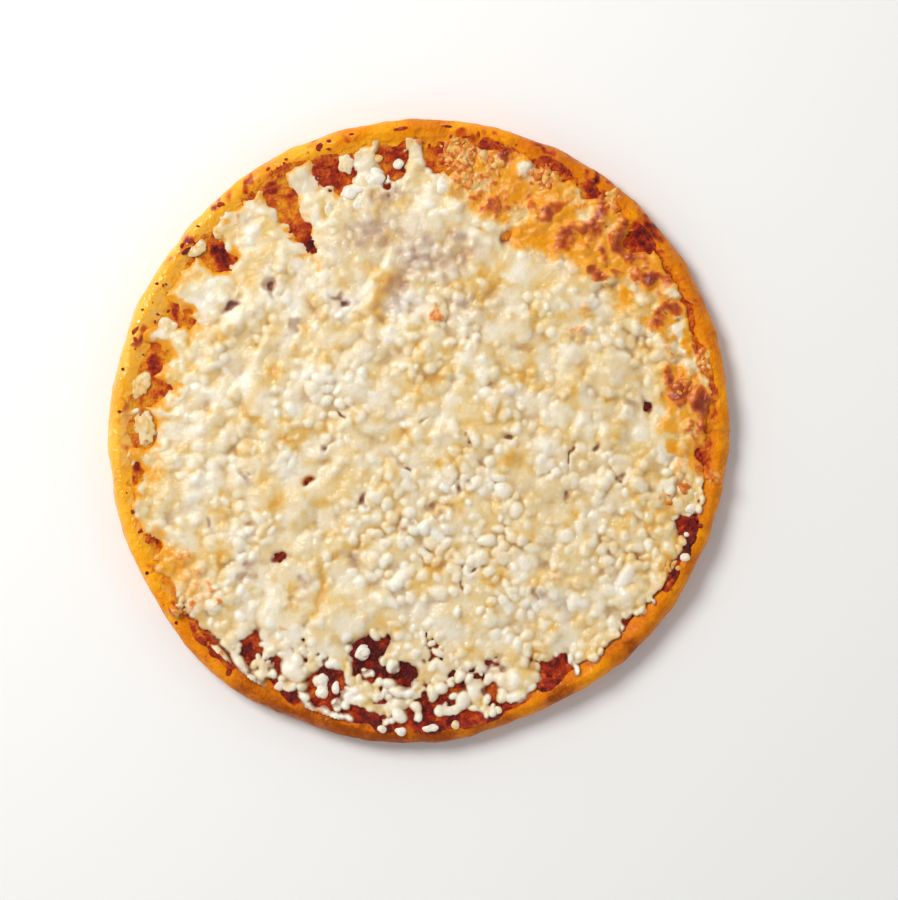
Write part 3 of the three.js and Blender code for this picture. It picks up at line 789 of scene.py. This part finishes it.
# the sheet without the ring where the curds lie apart
def wholeDepth(x, y):
    ring = cheeseLook["looseRing"]
    apart = nearBearing(polar(x, y)[1], ring["bearing"], ring["halfWidth"])
    back = ring["depth"] * apart * (1 + 1.3 * softNoise(x, y, 9, 72))
    return sheetDepth(x, y) - back - 9 * marks(x, y, cheeseLook["barePlaces"], 1)


# rows of x, y, length, width, turn, top, drop at its foot, crispness, blend and shade
def cheeseHeaps():
    rows = []
    x, y, draw = scatter(cheeseLook["heapSpacing"], 71)
    for px, py in zip(x, y):
        width = draw.uniform(*cheeseLook["heapSizes"])
        length = width * draw.uniform(1, 1.7)
        if wholeDepth(px, py) > 0.6 * length:
            top = float(sheetTop(px, py)) + draw.uniform(0.2, 1.5)
            turn = draw.uniform(0, 3.1)
            rows.append((px, py, length, width, turn, top, 2.0, 1.3, 0.9, 0.2 + 0.4 * draw.random()))
    for px, py, length, width, bearing, rise in cheeseLook["folds"]:
        top = float(sheetTop(px, py)) + rise + 0.4
        shade = 0.2 + 0.3 * draw.random()
        rows.append((px, py, length, width, math.radians(bearing), top, 2.4, 1.2, 1.2, shade))
    for x1, y1, x2, y2, width in cheeseLook["strings"]:
        count = int(math.hypot(x2 - x1, y2 - y1) / 1.1) + 2
        for t in np.linspace(0, 1, count):
            bend = 1.5 * math.sin(2.2 * t * math.pi)
            px, py = x1 + (x2 - x1) * t + 0.5 * bend, y1 + (y2 - y1) * t + 0.4 * bend
            thick = width * draw.uniform(0.7, 1.15)
            top = surfaceTop(px, py) + draw.uniform(1.5, 2.2)
            rows.append((px, py, thick, thick, 0, top, 1.8, 1.3, 0.6, 0.12))
    return rows


def inHoles(x, y, margin):
    return np.min([np.hypot(x - hx, y - hy) - radius for hx, hy, radius in holes], axis=0) < margin


def cheeseCurds(level):
    x, y, draw = scatter(cheeseLook["curdSpacing"], 73, 0.48)
    low, high = cheeseLook["curdSizes"]
    size = low + (high - low) * draw.beta(1.6, 2.6, x.shape)
    soft, edge, inner = melted(x, y), sheetDepth(x, y), wholeDepth(x, y)
    r, angle = polar(x, y)
    ring = cheeseLook["looseRing"]
    apart = nearBearing(angle, ring["bearing"], ring["halfWidth"])
    crowd = softNoise(x, y, 12, 74) + 0.5 * softNoise(x, y, 5, 75)
    chance = np.clip(0.6 + 0.4 * crowd + 0.26 * crispness(x, y) - 0.36 * soft, 0.08, 0.97)
    onSheet = (inner > -0.2 * size) & (edge > -0.1 * size) & (draw.random(x.shape) < chance)
    onSauce = (inner <= -0.2 * size) & (edge > -2 - 8 * apart) & (r < cheeseReach(angle) + 1)
    onSauce &= draw.random(x.shape) < np.where(edge > 0.2 * size, 0.8 * apart, 0.05 + 0.25 * apart)
    sinks = np.maximum(marks(x, y, cheeseLook["cracks"]), inHoles(x, y, 0.25 * size))
    special = draw.random(x.shape)
    golden = special + 0.12 * softNoise(x, y, 11, 77)
    pale = 0.06 + 0.44 * draw.beta(1.2, 2.0, x.shape)
    shade = np.where(golden > 0.97, 0.9, np.where(golden > 0.8, 0.66, pale)) - 0.22 * apart
    bare = bakedTop(x, y) + sauce["thickness"]
    rise = (0.2 - 0.12 * soft + 0.16 * browned(x, y) + draw.uniform(-0.12, 0.14, x.shape)) * size
    top = np.where(onSheet, sample(level, x, y) + rise, bare + 0.5 * size)
    drop = np.where(onSheet, 0.26 * size + 0.35, 0.42 * size)
    rows = []
    for i in np.flatnonzero((onSheet | onSauce) & (sinks < 0.5)):
        length = size[i] * draw.uniform(1.0, 1.35)
        blend, crisp = 0.8 + 0.7 * soft[i], 1.6 - 0.5 * soft[i]
        turn = draw.uniform(0, 3.1)
        rows.append((x[i], y[i], length, size[i], turn, top[i], drop[i], crisp, blend, shade[i]))
    return rows


# small lumps all along the sheet's edge
def edgeCurds():
    x, y, draw = scatter(2.7, 76, 0.5)
    size = draw.uniform(2.3, 4.5, x.shape)
    edge = wholeDepth(x, y)
    kept = (abs(edge - 0.2) < 1.3) & (draw.random(x.shape) < 0.55) & ~inHoles(x, y, 0.5)
    top = bakedTop(x, y) + sauce["thickness"] + 0.4 * size
    rows = []
    for i in np.flatnonzero(kept):
        shade = 0.1 + 0.4 * draw.random()
        turn, drop = draw.uniform(0, 3.1), 0.4 * size[i]
        rows.append((x[i], y[i], size[i] * 1.2, size[i], turn, top[i], drop, 1.4, 0.7, shade))
    return rows


# raises the grids where an oval lump stands, running its foot into what is there
def stamp(height, tint, shakenX, shakenY, row):
    x, y, length, width, turn, top, drop, crisp, blend, shade = row
    reach = int(0.68 * length / step) + 2
    ci, cj = int((x + half) / step), int((y + half) / step)
    window = (slice(max(ci - reach, 0), ci + reach + 1), slice(max(cj - reach, 0), cj + reach + 1))
    dx, dy = shakenX[window] - x, shakenY[window] - y
    cosine, sine = math.cos(turn), math.sin(turn)
    along, across = (dx * cosine + dy * sine) / (length / 2), (dy * cosine - dx * sine) / (width / 2)
    out = along**2 + across**2
    there = height[window]
    cap = top - drop * out**crisp
    overlap = np.clip(blend - abs(cap - there), 0, None)
    joined = np.maximum(cap, there) + overlap**2 / (4 * blend)
    height[window] = np.where(out < 1.7, np.maximum(there, joined), there)
    cover = ramp(cap - there + 0.3, 0.9) * ramp(1 - out, 0.35)
    tint[window] += (shade - tint[window]) * cover


# the height averaged over the cheese nearby
def levelled(height, covered, width):
    return blurred(np.where(covered, height, 0), width) / (blurred(covered.astype(float), width) + 1e-6)


# the sheet as strewn: a base that thickens inwards from a thin edge, then heaps and curds
def strewnSheet(depth, bare, hidden):
    x, y = gridX, gridY
    thickening = 0.22 * ramp(depth, 0.7) + 0.78 * np.sqrt(1 - (1 - ramp(depth, 6)) ** 2)
    rise = np.maximum(sheetTop(x, y) - bare, 1)
    height = np.where(depth > 0, bare - 0.1 + np.maximum(rise * thickening, 0.55 * ramp(depth, 1)), hidden)
    tint = 0.44 + 0.12 * softNoise(x, y, 9, 68)
    shakenX = x + 0.3 * softNoise(x, y, 2.9, 24) + 0.9 * softNoise(x, y, 7.3, 25)
    shakenY = y + 0.3 * softNoise(x, y, 2.9, 26) + 0.9 * softNoise(x, y, 7.3, 27)
    for row in cheeseHeaps():
        stamp(height, tint, shakenX, shakenY, row)
    for row in cheeseCurds(blurred(height, 1.2)) + edgeCurds():
        stamp(height, tint, shakenX, shakenY, row)
    return height, tint


# what melting adds to the height: a grain where toasted, long pulled folds at the upper left
def meltedForms(melt, toast, grain, brown):
    x, y = gridX, gridY
    along, across = 0.5 * x + 0.87 * y, 0.87 * x - 0.5 * y + 2.5 * softNoise(x, y, 17, 86)
    pulled = softNoise(along / 3, across, 6, 85) * ramp(melt - 0.25, 0.5) * (1 - crispness(x, y))
    ripple = 0.04 * softNoise(x, y, 1.7, 95) + 0.12 * softNoise(x, y, 3.4, 99) + 1.15 * pulled
    rough = np.maximum(np.clip(toast - 0.3, 0, 0.5), 0.42 * brown)
    return 0.42 * rough * grain, ripple


# how toasted and how oily the cheese is
def toastAndOil(toast, valleyShade, grain, brown):
    x, y = gridX, gridY
    pale = marks(x, y, cheeseLook["palePlaces"], 2.5)
    pools = np.clip(marks(x, y, cheeseLook["pools"], 1.2), 0, 1)
    left = brown * (1 - 0.85 * pale)
    patches = softNoise(x, y, 6, 96) + 0.6 * softNoise(x + 0.5 * y, y - 0.4 * x, 2.6, 97) + 0.35 * grain
    wide = softNoise(x + 0.6 * y, y - 0.3 * x, 10, 84)
    toast = np.maximum(toast * (1 - 0.6 * pale), left * (0.43 + 0.2 * patches + 0.26 * wide))
    toast = (toast - 0.24 * np.clip(valleyShade, -0.6, 1) * ramp(toast - 0.15, 0.2)) * (1 - 0.95 * pools)
    oil = marks(x, y, cheeseLook["oilPlaces"], 2.4) * (1 - 0.7 * pale)
    oil = np.maximum(np.maximum(oil, pools), left * (0.66 - 0.2 * patches + 0.25 * wide))
    return toast, oil


# the sheet's height over the whole pizza, and its paint
def cheeseGrids():
    x, y = gridX, gridY
    r, angle = polar(x, y)
    ragged = 1.6 * softNoise(x, y, 5.2, 66) + 0.9 * softNoise(x, y, 2.4, 67)
    depth = wholeDepth(x, y) + ragged
    largeHoles = [hole for hole in holes if hole[2] > cheese["smallHole"]]
    fromHole = np.min([np.hypot(x - hx, y - hy) - radius for hx, hy, radius in largeHoles], axis=0) + ragged
    hidden = bakedTop(x, y) - 2
    bare = hidden + 2 + sauce["thickness"]
    height, tint = strewnSheet(depth, bare, hidden)
    # edges that ran out thin, at the upper left and where the oven browned them
    brown = browned(x, y)
    flowing = np.maximum(nearBearing(angle, *cheeseLook["ranOut"]), 0.7 * brown)
    edge = bare - sauce["thickness"] * 0.7 + 0.5 * ramp(depth, 1.5) + 6.5 * ramp(depth, 16 - 8 * brown)
    height = height - flowing * np.clip(height - np.where(depth > 0, edge, hidden), 0, None)
    covered = height > np.where(flowing > 0.4, hidden + 0.5, bare - 0.3)
    melt = melted(x, y) * (1 - 0.4 * brown)
    holeRim = (1 - ramp(fromHole, 2.6)) * (fromHole > -2)
    thin = np.maximum(marks(x, y, cheeseLook["thinPlaces"], 2.5), holeRim)
    thin = thin * (0.82 + 0.4 * softNoise(x, y, 3.2, 28))
    cracks = marks(x, y, cheeseLook["cracks"], 1.6) * (0.75 + 0.45 * softNoise(x, y, 2.1, 98))
    toast = np.maximum(0.08 + 0.07 * softNoise(x, y, 17, 91), marks(x, y, cheeseLook["toastPlaces"], 2.5))
    # melted places lose their small forms, toasted ones gain a grain
    calm = levelled(height, covered, 1.1)
    height = np.where(covered, height + (calm - height) * (0.12 + 0.7 * melt), height)
    flake = 1 - 2 * abs(softNoise(x + 0.5 * y, 1.6 * y - 0.4 * x, 2.2, 83))
    grain = softNoise(x, y, 1.5, 93) + 0.8 * softNoise(x, y, 2.6, 94) + 0.8 * flake
    roughness, ripple = meltedForms(melt, toast, grain, brown)
    height += np.where(covered, roughness + ripple * ramp(height - bare + 0.5, 1.5), 0)
    height -= np.where(covered, 0.8 * thin + 1.5 * cracks, 0)
    whole = (depth > 4 + 6 * flowing) & covered
    height = np.where(whole, np.maximum(height, bare + 0.5), np.maximum(height, hidden))
    # painted shade and highlight: how far each point lies below the cheese close around it, darker in
    # creases and whiter on raised tops
    creaseShading = levelled(height, covered, 1.6) - height
    # partly the thinner sheet, partly painted shade: darker in broad hollows
    valleyShade = levelled(height, covered, 5) - height
    toast, oil = toastAndOil(toast, valleyShade, grain, brown)
    # a thin orange fringe at the upper left, and yellow drops all over
    fringe = (1 - ramp(depth, 6)) * nearBearing(angle, *cheeseLook["fringe"])
    oil = np.maximum(oil, fringe * (0.8 + 0.5 * softNoise(x, y, 4, 89)))
    tint = tint + 0.24 * ramp(softNoise(x, y, 5, 88) + 0.4 * softNoise(x, y, 19, 87) - 0.4, 0.5)
    # whiter at the bottom
    tint = tint - 0.14 * nearBearing(angle, *cheeseLook["whitest"]) * ramp(r - 70, 40)
    # painted highlight and shade: whiter on raised tops, yellower in creases, plus a random tone
    tint = tint + 0.12 * softNoise(x, y, 12, 82) + 0.3 * np.clip(creaseShading, -0.7, 0.3) + 0.08 * crispness(x, y)
    # painted shade: dark in the deepest creases of the hollows
    shadedGaps = ramp(creaseShading - 0.45, 0.6) * ramp(valleyShade - 0.3, 1.2) * (0.5 + 0.6 * softNoise(x, y, 8, 92))
    # the thinnest edge lets the sauce show through
    sheer = (1 - ramp(height - bare - 0.1, 0.9)) * (1 - flowing)
    return {
        "height": height,
        "tint": np.clip(tint, 0, 1),
        "creaseShading": np.clip(creaseShading / 1.2, 0, 1),
        "valleyShade": np.clip(valleyShade / 2, 0, 1),
        "deepShade": np.clip(np.maximum(cracks * ramp(valleyShade - 0.1, 1.4), shadedGaps), 0, 1),
        "thin": np.maximum(thin, 0.8 * sheer),
        "toast": np.clip(toast, 0, 1),
        "oil": np.clip(oil, 0, 1),
    }


# what the cheese material reads at each point
paintNames = ("tint", "creaseShading", "valleyShade", "deepShade", "thin", "toast", "oil")


def makeCheese(material, grids):
    shape = bmesh.new()
    count = len(axis) - 1
    bmesh.ops.create_grid(shape, x_segments=count, y_segments=count, size=half * millimetre)
    limit = cheeseLook["discRadius"] * millimetre
    outside = [v for v in shape.verts if v.co.x**2 + v.co.y**2 > limit**2]
    bmesh.ops.delete(shape, geom=outside, context="VERTS")
    rim = [e for e in shape.edges if e.is_boundary]
    made = bmesh.ops.extrude_edge_only(shape, edges=rim)["geom"]
    wall = [v for v in made if isinstance(v, bmesh.types.BMVert)]
    bmesh.ops.translate(shape, verts=wall, vec=(0, 0, -1))
    bmesh.ops.contextual_create(shape, geom=[e for e in made if isinstance(e, bmesh.types.BMEdge)])
    bmesh.ops.recalc_face_normals(shape, faces=shape.faces)
    mesh = bpy.data.meshes.new("melted_cheese")
    shape.to_mesh(mesh)
    shape.free()
    points = readPoints(mesh)
    x, y, z = points.T
    points[:, 2] = np.where(z < -500, cheeseLook["underside"], sample(grids["height"], x, y))
    writePoints(mesh, points)
    holder = bpy.data.objects.new("cheese_work", mesh)
    bpy.context.scene.collection.objects.link(holder)
    thin = holder.modifiers.new("thin", "DECIMATE")
    thin.ratio = min(1.0, cheeseLook["triangles"] / sum(len(p.vertices) - 2 for p in mesh.polygons))
    depsgraph = bpy.context.evaluated_depsgraph_get()
    mesh = bpy.data.meshes.new_from_object(holder.evaluated_get(depsgraph))
    bpy.data.objects.remove(holder)
    mesh.name = "melted_cheese"
    x, y, z = readPoints(mesh).T
    for name in paintNames:
        addAttribute(mesh, name, sample(grids[name], x, y))
    return addPiece("melted_cheese", mesh, material, ["cheese"])


# melted curd cheese: translucent cream, whiter where thick and on raised tops, golden where toasted,
# lightly oiled, with painted shade in creases, hollows and clefts
def cheeseMaterial(name, glow):
    material, tree = newMaterial(name)
    place = addNode(tree, "ShaderNodeTexCoord").outputs["Object"]
    read = {kind: paint(tree, kind) for kind in paintNames}
    wide = carried(tree, noise(tree, place, 90, 5, 0.6), -0.5, 0.5)
    fine = noise(tree, place, 420, 4, 0.62)
    close = carried(tree, fine, -0.5, 0.5)
    colour = rampOf(tree, summed(tree, wide, read["tint"]), [
        (0.05, "#F8F1E4"), (0.3, "#F4E7CC"), (0.52, "#EED8AA"), (0.76, "#EBC678"), (1.0, "#E3A848"),
    ])  # fmt: skip
    # painted shade: brown in the creases
    colour = laidOver(tree, colour, hexColour("#AC7A4E"), read["creaseShading"], 0.15, 0.95, 0.88)
    # painted shade in the broad hollows, partly the thinner sheet there
    colour = laidOver(tree, colour, hexColour("#B08660"), read["valleyShade"], 0.1, 0.9, 0.72)
    # mauve where thin and see-through, partly painted shade
    colour = laidOver(tree, colour, hexColour("#B08A74"), read["thin"], 0.1, 0.9, 0.7)
    # oil stands in the cheese as a clear yellow to orange film
    oily = summed(tree, close, read["oil"], 0.5)
    film = rampOf(tree, oily, [(0.15, "#F6D68A"), (0.45, "#F4B038"), (0.75, "#F3A214"), (1.0, "#F09A06")])
    colour = laidOver(tree, colour, film, oily, 0.12, 0.6)
    brown = summed(tree, close, read["toast"], 0.5)
    toasted = rampOf(tree, brown, [
        (0.3, "#F0B652"), (0.46, "#EC9C32"), (0.6, "#DE781A"), (0.78, "#BE520E"), (1.0, "#8A2C0A"),
    ])  # fmt: skip
    colour = laidOver(tree, colour, toasted, brown, 0.28, 0.62)
    # dark brown in clefts and deep gaps: partly sauce seen in the clefts, partly painted shade
    colour = laidOver(tree, colour, hexColour("#7A3E2C"), read["deepShade"], 0.2, 0.9, 0.85)
    tanned = reckoned(tree, "MAXIMUM", read["oil"], read["toast"])
    beads = bumped(tree, noise(tree, place, 900, 2), 0.4, 0.0004)
    bump = bumped(tree, fine, 0.6, 0.001, beads)
    return finishMaterial(material, {
        "Base Color": colour,
        "Roughness": carried(tree, read["oil"], 0.34, 0.24),
        "IOR": 1.3,
        "Coat Weight": carried(tree, tanned, 0.5, 0.6),
        "Coat Roughness": 0.05,
        "Coat Normal": bump,
        "Normal": bump,
        "Subsurface Weight": carried(tree, tanned, glow, 0),
        "Subsurface Radius": (0.0018, 0.0012, 0.0007),
        "Subsurface Scale": 1.0,
    })  # fmt: skip


# ---- lumps apart from the sheet ----
# x, y, length, width, bearing, rise, tint, toast
looseCurds = [
    (-133.7, 21.6, 11.8, 9.1, 62, 1.9, 0.66, 0.36), (-132.4, 1.4, 18, 11.5, 95, 1.3, 0.6, 0.3),
    (-27, -106.6, 7.2, 6.1, 20, 2.6, 0.1, 0), (-47.4, -120.6, 7, 7, 100, 2.6, 0.1, 0),
    (-46.6, -125, 6.6, 6, 80, 2.4, 0.15, 0), (-40, -123.3, 4.2, 5.5, 0, 2, 0.1, 0),
    (-17.5, -143, 4, 3.6, 0, 1.8, 0.2, 0), (-8.4, -144.4, 5.5, 4.2, 10, 2, 0.15, 0),
    (6, -142.6, 7.2, 3.9, 5, 2, 0.15, 0), (17.6, -141, 4, 4, 0, 1.8, 0.6, 0.3),
    (38, -134, 4.2, 3.6, 0, 1.6, 0.3, 0), (133.6, -30.8, 5.4, 4.8, 0, 2.4, 0.2, 0.2),
    (127.5, -28, 6.4, 6, 0, 3.6, 0.7, 0.6), (120, -34, 4, 7, 0, 3.2, 0.7, 0.56),
    (130.8, -37.5, 5, 4.6, 0, 2.4, 0.1, 0), (128.4, -49.8, 2.6, 2.4, 0, 1.4, 0.1, 0),
    (128, -60.6, 4.6, 4.2, 0, 2, 0.2, 0), (107.2, -86.4, 4.4, 4, 0, 1.8, 0.6, 0.3),
    (-67, -122.6, 5, 4, 30, 2, 0.2, 0), (-96, 96, 8, 6, 60, 1.8, 0.6, 0.4),
    (-120.7, 49.7, 10, 9, 40, 1.8, 0.5, 0.3), (-35, 128.3, 8, 10, 0, 1.8, 0.45, 0.2),
    (-22.8, 121.4, 12, 9, 30, 2.6, 0.15, 0), (-31.6, 115.4, 12, 6, 25, 2.4, 0.2, 0),
    (-43.4, 107, 5, 8, 0, 2, 0.3, 0), (-9.5, 128.3, 5, 4.6, 0, 2, 0.3, 0),
    (-19.3, 131, 4.4, 4, 0, 1.8, 0.7, 0.3), (-28.6, 108.6, 6, 5, 0, 2.4, 0.2, 0),
    (11, 118, 8, 7, 60, 3, 0.15, 0), (30.5, 133, 7, 5.5, -20, 2.4, 0.6, 0.42),
    (-106, 88, 10, 6, 40, 1.6, 0.5, 0.36), (-136, 9.4, 4, 2.6, 30, 1.4, 0.4, 0.2),
    (-89, -104, 6, 4, 40, 2, 0.4, 0.3),
]  # fmt: skip


def surfaceTop(x, y):
    red = float(sauceRedness(np.array(x), np.array(y)))
    return float(bakedTop(x, y)) + max(0.0, float(sauceDepth(x, y))) * (0.35 + 0.65 * red)


# gives a joined mesh its paint: one tone and toast a lump, with painted shade darker towards each foot
def paintLumps(mesh, rows, tints, toasts, speckle):
    x, y, z = readPoints(mesh).T
    each = len(mesh.vertices) // len(rows)
    tops = np.repeat([row[2] + row[5] / 2 for row in rows], each)
    heights = np.repeat([row[5] for row in rows], each)
    layers = dict.fromkeys(paintNames, 0.0)
    layers["tint"] = np.repeat(tints, each) + 0.5 * speckle * softNoise(x, y, 3.3, 103)
    layers["toast"] = np.repeat(toasts, each) + speckle * softNoise(x, y, 1.7, 104)
    # painted shade, darker towards each lump's foot
    layers["creaseShading"] = 0.45 * ramp(tops - z - 0.45 * heights, 0.5 * heights)
    for name, values in layers.items():
        addAttribute(mesh, name, np.clip(values, 0, 1))


def makeLooseCheese(material):
    rows, tints, toasts = [], [], []
    for x, y, length, width, bearing, rise, tint, toast in looseCurds:
        rows.append((x, y, surfaceTop(x, y) + 0.2 * rise, length, width, 1.6 * rise, math.radians(bearing)))
        tints.append(tint)
        toasts.append(toast)
    mesh = joinedBalls("loose_cheese", rows, 4, 0.26)
    paintLumps(mesh, rows, tints, toasts, 0.12)
    islands = ["cheese_blob_left", "cheese_patch_left", "cheese_lump_in_gap", "cheese_pair_in_gap"]
    return addPiece("loose_cheese", mesh, material, islands)


# heaps of small toasted crumbs: x, y, length, width, count, toast
crumbHeaps = [
    (19.5, 133.5, 18, 15.5, 100, 0.52), (24, 120, 9, 7, 18, 0.48), (36, 127.5, 9, 7, 12, 0.46),
    (92, 110.5, 10, 8, 12, 0.56), (137, 33, 8, 11, 8, 0.5), (142, -22, 7, 5, 10, 0.58),
    (120.5, -64.6, 10, 4, 8, 0.4), (-116, -87, 8, 5, 12, 0.56), (60, 122, 15, 13, 16, 0.55),
    (127, 22, 11, 9, 8, 0.6),
]  # fmt: skip


def makeCrumbs(material, grids):
    draw = np.random.default_rng(101)
    rows, toasts = [], []
    for hx, hy, length, width, count, toast in crumbHeaps:
        for i in range(count):
            out, angle = math.sqrt((i + 0.5) / count) * draw.uniform(0.8, 1.15), i * 2.4
            x = hx + 0.5 * length * out * math.cos(angle)
            y = hy + 0.5 * width * out * math.sin(angle)
            size = draw.uniform(1.5, 3.4)
            under = max(surfaceTop(x, y), float(sample(grids["height"], np.array(x), np.array(y))))
            z = under + 0.6 * (1 - out) * min(1, length / 15) + draw.uniform(-0.16, 0.06) * size
            rows.append((x, y, z, draw.uniform(1.1, 2) * size, size, 0.55 * size, draw.uniform(0, 3)))
            toasts.append(toast + draw.uniform(-0.12, 0.12))
    mesh = joinedBalls("toasted_cheese_crumbs", rows, 3, 0.45)
    paintLumps(mesh, rows, np.full(len(rows), 0.8), toasts, 0.12)
    nodes = ["toasted_crumbs", "toasted_curd_right"]
    return addPiece("toasted_cheese_crumbs", mesh, material, nodes)


# ---- specks of browned sauce and herb on the rim ----
# x, y, length, width, bearing and redness, the largest ones
largeFlecks = [
    (-111.6, 86.6, 5, 2.5, 40, 1), (-110, 102, 2.6, 1.8, 0, 0.9), (-131.3, 73.8, 2.4, 1.8, 0, 1),
    (-96.6, 110.7, 4, 3, 0, 0.75), (-48.8, 138.6, 3, 5, 0, 0.9), (-44, 142.5, 2.4, 1.6, 0, 0.9),
    (-32.6, 145.5, 2.4, 1.4, 0, 0.95), (-8, 145, 8, 1.5, 10, 0.8), (-43.7, 135, 3, 2, 0, 0.9),
    (23, 141, 4, 2, 0, 0.8), (13, 149, 7, 1.5, -5, 1), (-139, 49, 5, 2, 55, 0.7),
    (-135.6, 43.6, 4, 2, -50, 0.72), (-146, 30.4, 2, 1.6, 0, 1), (-143.6, 9.2, 1.6, 1.2, 0, 1),
    (-132, -69, 1.8, 1.8, 0, 1), (-119, -94, 2.4, 2.4, 0, 1), (-117, 91, 3, 2, 60, 0.9),
    (-108.6, 90.8, 3.4, 2.4, -30, 0.85), (-141, 62, 2, 1.4, 0, 0.9), (-126, -86, 1.4, 1.2, 0, 0.9),
    (-66, 135, 2, 1.4, 0, 0.8), (-74, 128, 2.6, 1.8, 30, 0.7), (112, 97, 3, 1.6, 130, 0.9),
]  # fmt: skip
fleckLook = {"count": 100, "sizes": (0.7, 2.0), "seed": 111, "fromEdge": 3.6}


def makeFlecks(material):
    draw = np.random.default_rng(fleckLook["seed"])
    rows, reds = [], []
    for x, y, length, width, bearing, red in largeFlecks:
        rows.append((x, y, 0.85 * length, 0.8 * width, math.radians(bearing)))
        reds.append(0.85 * red)
    while len(rows) < fleckLook["count"]:
        angle = draw.uniform(0, fullTurn)
        r = float(outline(angle)) - draw.gamma(3.2, 2.6) - 1.5
        size = draw.uniform(*fleckLook["sizes"]) * draw.uniform(0.5, 1)
        likely = 0.15 + 0.8 * float(nearBearing(angle, 145, 55)) + 0.5 * float(nearBearing(angle, 50, 40))
        x, y = r * math.cos(angle), r * math.sin(angle)
        likely *= 0.5 + 1.2 * float(softNoise(x, y, 13, 39))
        if 126 < r < float(outline(angle)) - 5.5 and draw.random() < likely:
            rows.append((x, y, size * draw.uniform(1, 2), size, draw.uniform(0, 3.1)))
            reds.append(draw.uniform(0.45, 0.85))
    placed = []
    for x, y, length, width, turn in rows:
        r, angle = math.hypot(x, y), math.atan2(y, x)
        inwards = min(1, (float(outline(angle)) - fleckLook["fromEdge"] - 0.4 * width) / r)
        x, y = x * inwards, y * inwards
        thick = 0.5 * min(width, 1.4)
        z = max(surfaceTop(x, y), float(bakedTop(x, y))) + 0.2 * thick
        placed.append((x, y, z, length, width, thick, turn))
    mesh = joinedBalls("browned_flecks", placed, 3, 0.55)
    each = len(mesh.vertices) // len(placed)
    addAttribute(mesh, "red", np.repeat(reds, each))
    return addPiece("browned_flecks", mesh, material)


# ---- build ----
curdCheese = cheeseMaterial("meltedCurdCheese", 0.6)
lumpCheese = cheeseMaterial("looseCurdCheese", 0.0)  # small lumps let no light through that shows
makeCrust(doughMaterial())
wetSauce = sauceMaterial()
makeSauce(wetSauce)
makeFlecks(wetSauce)
grids = cheeseGrids()
print("cheese laid out on a grid of", gridX.shape)
makeCheese(curdCheese, grids)
makeLooseCheese(lumpCheese)
makeCrumbs(lumpCheese, grids)

# ---- stage, light and camera ----
view = {
    "centre": (0.0145, -0.0092),  # what the camera looks straight down on
    "height": 1.4,
    "frameWidth": 0.4341,  # of the picture's long side, at the height of the rim's widest ring
}


def makeStage():
    shape = bmesh.new()
    bmesh.ops.create_grid(shape, x_segments=1, y_segments=1, size=3)
    mesh = bpy.data.meshes.new("floor")
    shape.to_mesh(mesh)
    shape.free()
    material = newMaterial("paleFloor")[0]
    finishMaterial(material, {"Base Color": hexColour("#FBFBFA"), "Roughness": 0.8})
    mesh.materials.append(material)
    floor = bpy.data.objects.new("floor", mesh)
    bpy.context.scene.collection.objects.link(floor)
    floor.location.z = -0.0002


def addLamp(name, place, size, power, colour):
    lamp = bpy.data.lights.new(name, "AREA")
    lamp.shape, lamp.size, lamp.energy, lamp.color = "DISK", size, power, colour
    holder = bpy.data.objects.new(name, lamp)
    holder.location = place
    holder.rotation_euler = (-Vector(place)).to_track_quat("-Z", "Y").to_euler()
    bpy.context.scene.collection.objects.link(holder)


# a studio that is bright all round and dimmer overhead, where the camera hangs
def makeLight():
    world = bpy.data.worlds.new("studio")
    bpy.context.scene.world = world
    world.use_nodes = True
    tree = world.node_tree
    tree.nodes.clear()
    place = addNode(tree, "ShaderNodeTexCoord").outputs["Generated"]
    up = addNode(tree, "ShaderNodeSeparateXYZ", None, {"Vector": place}).outputs["Z"]
    level = carried(tree, up, 0.78, 0.07, 0.55, 0.9)
    back = addNode(tree, "ShaderNodeBackground", None, {"Color": (1, 1, 1, 1), "Strength": level})
    addNode(tree, "ShaderNodeOutputWorld", None, {"Surface": back.outputs[0]})
    addLamp("windowLight", (-0.76, 0.64, 1.22), 0.7, 17.8, (1.0, 0.98, 0.95))
    scene = bpy.context.scene
    scene.view_settings.view_transform = "Standard"
    scene.view_settings.look = "None"


def makeCamera():
    camera = bpy.data.cameras.new("camera")
    camera.sensor_fit = "AUTO"
    widest = 0.006
    camera.lens = camera.sensor_width * (view["height"] - widest) / view["frameWidth"]
    holder = bpy.data.objects.new("camera", camera)
    holder.location = (*view["centre"], view["height"])
    bpy.context.scene.collection.objects.link(holder)
    bpy.context.scene.camera = holder


makeStage()
makeLight()
makeCamera()
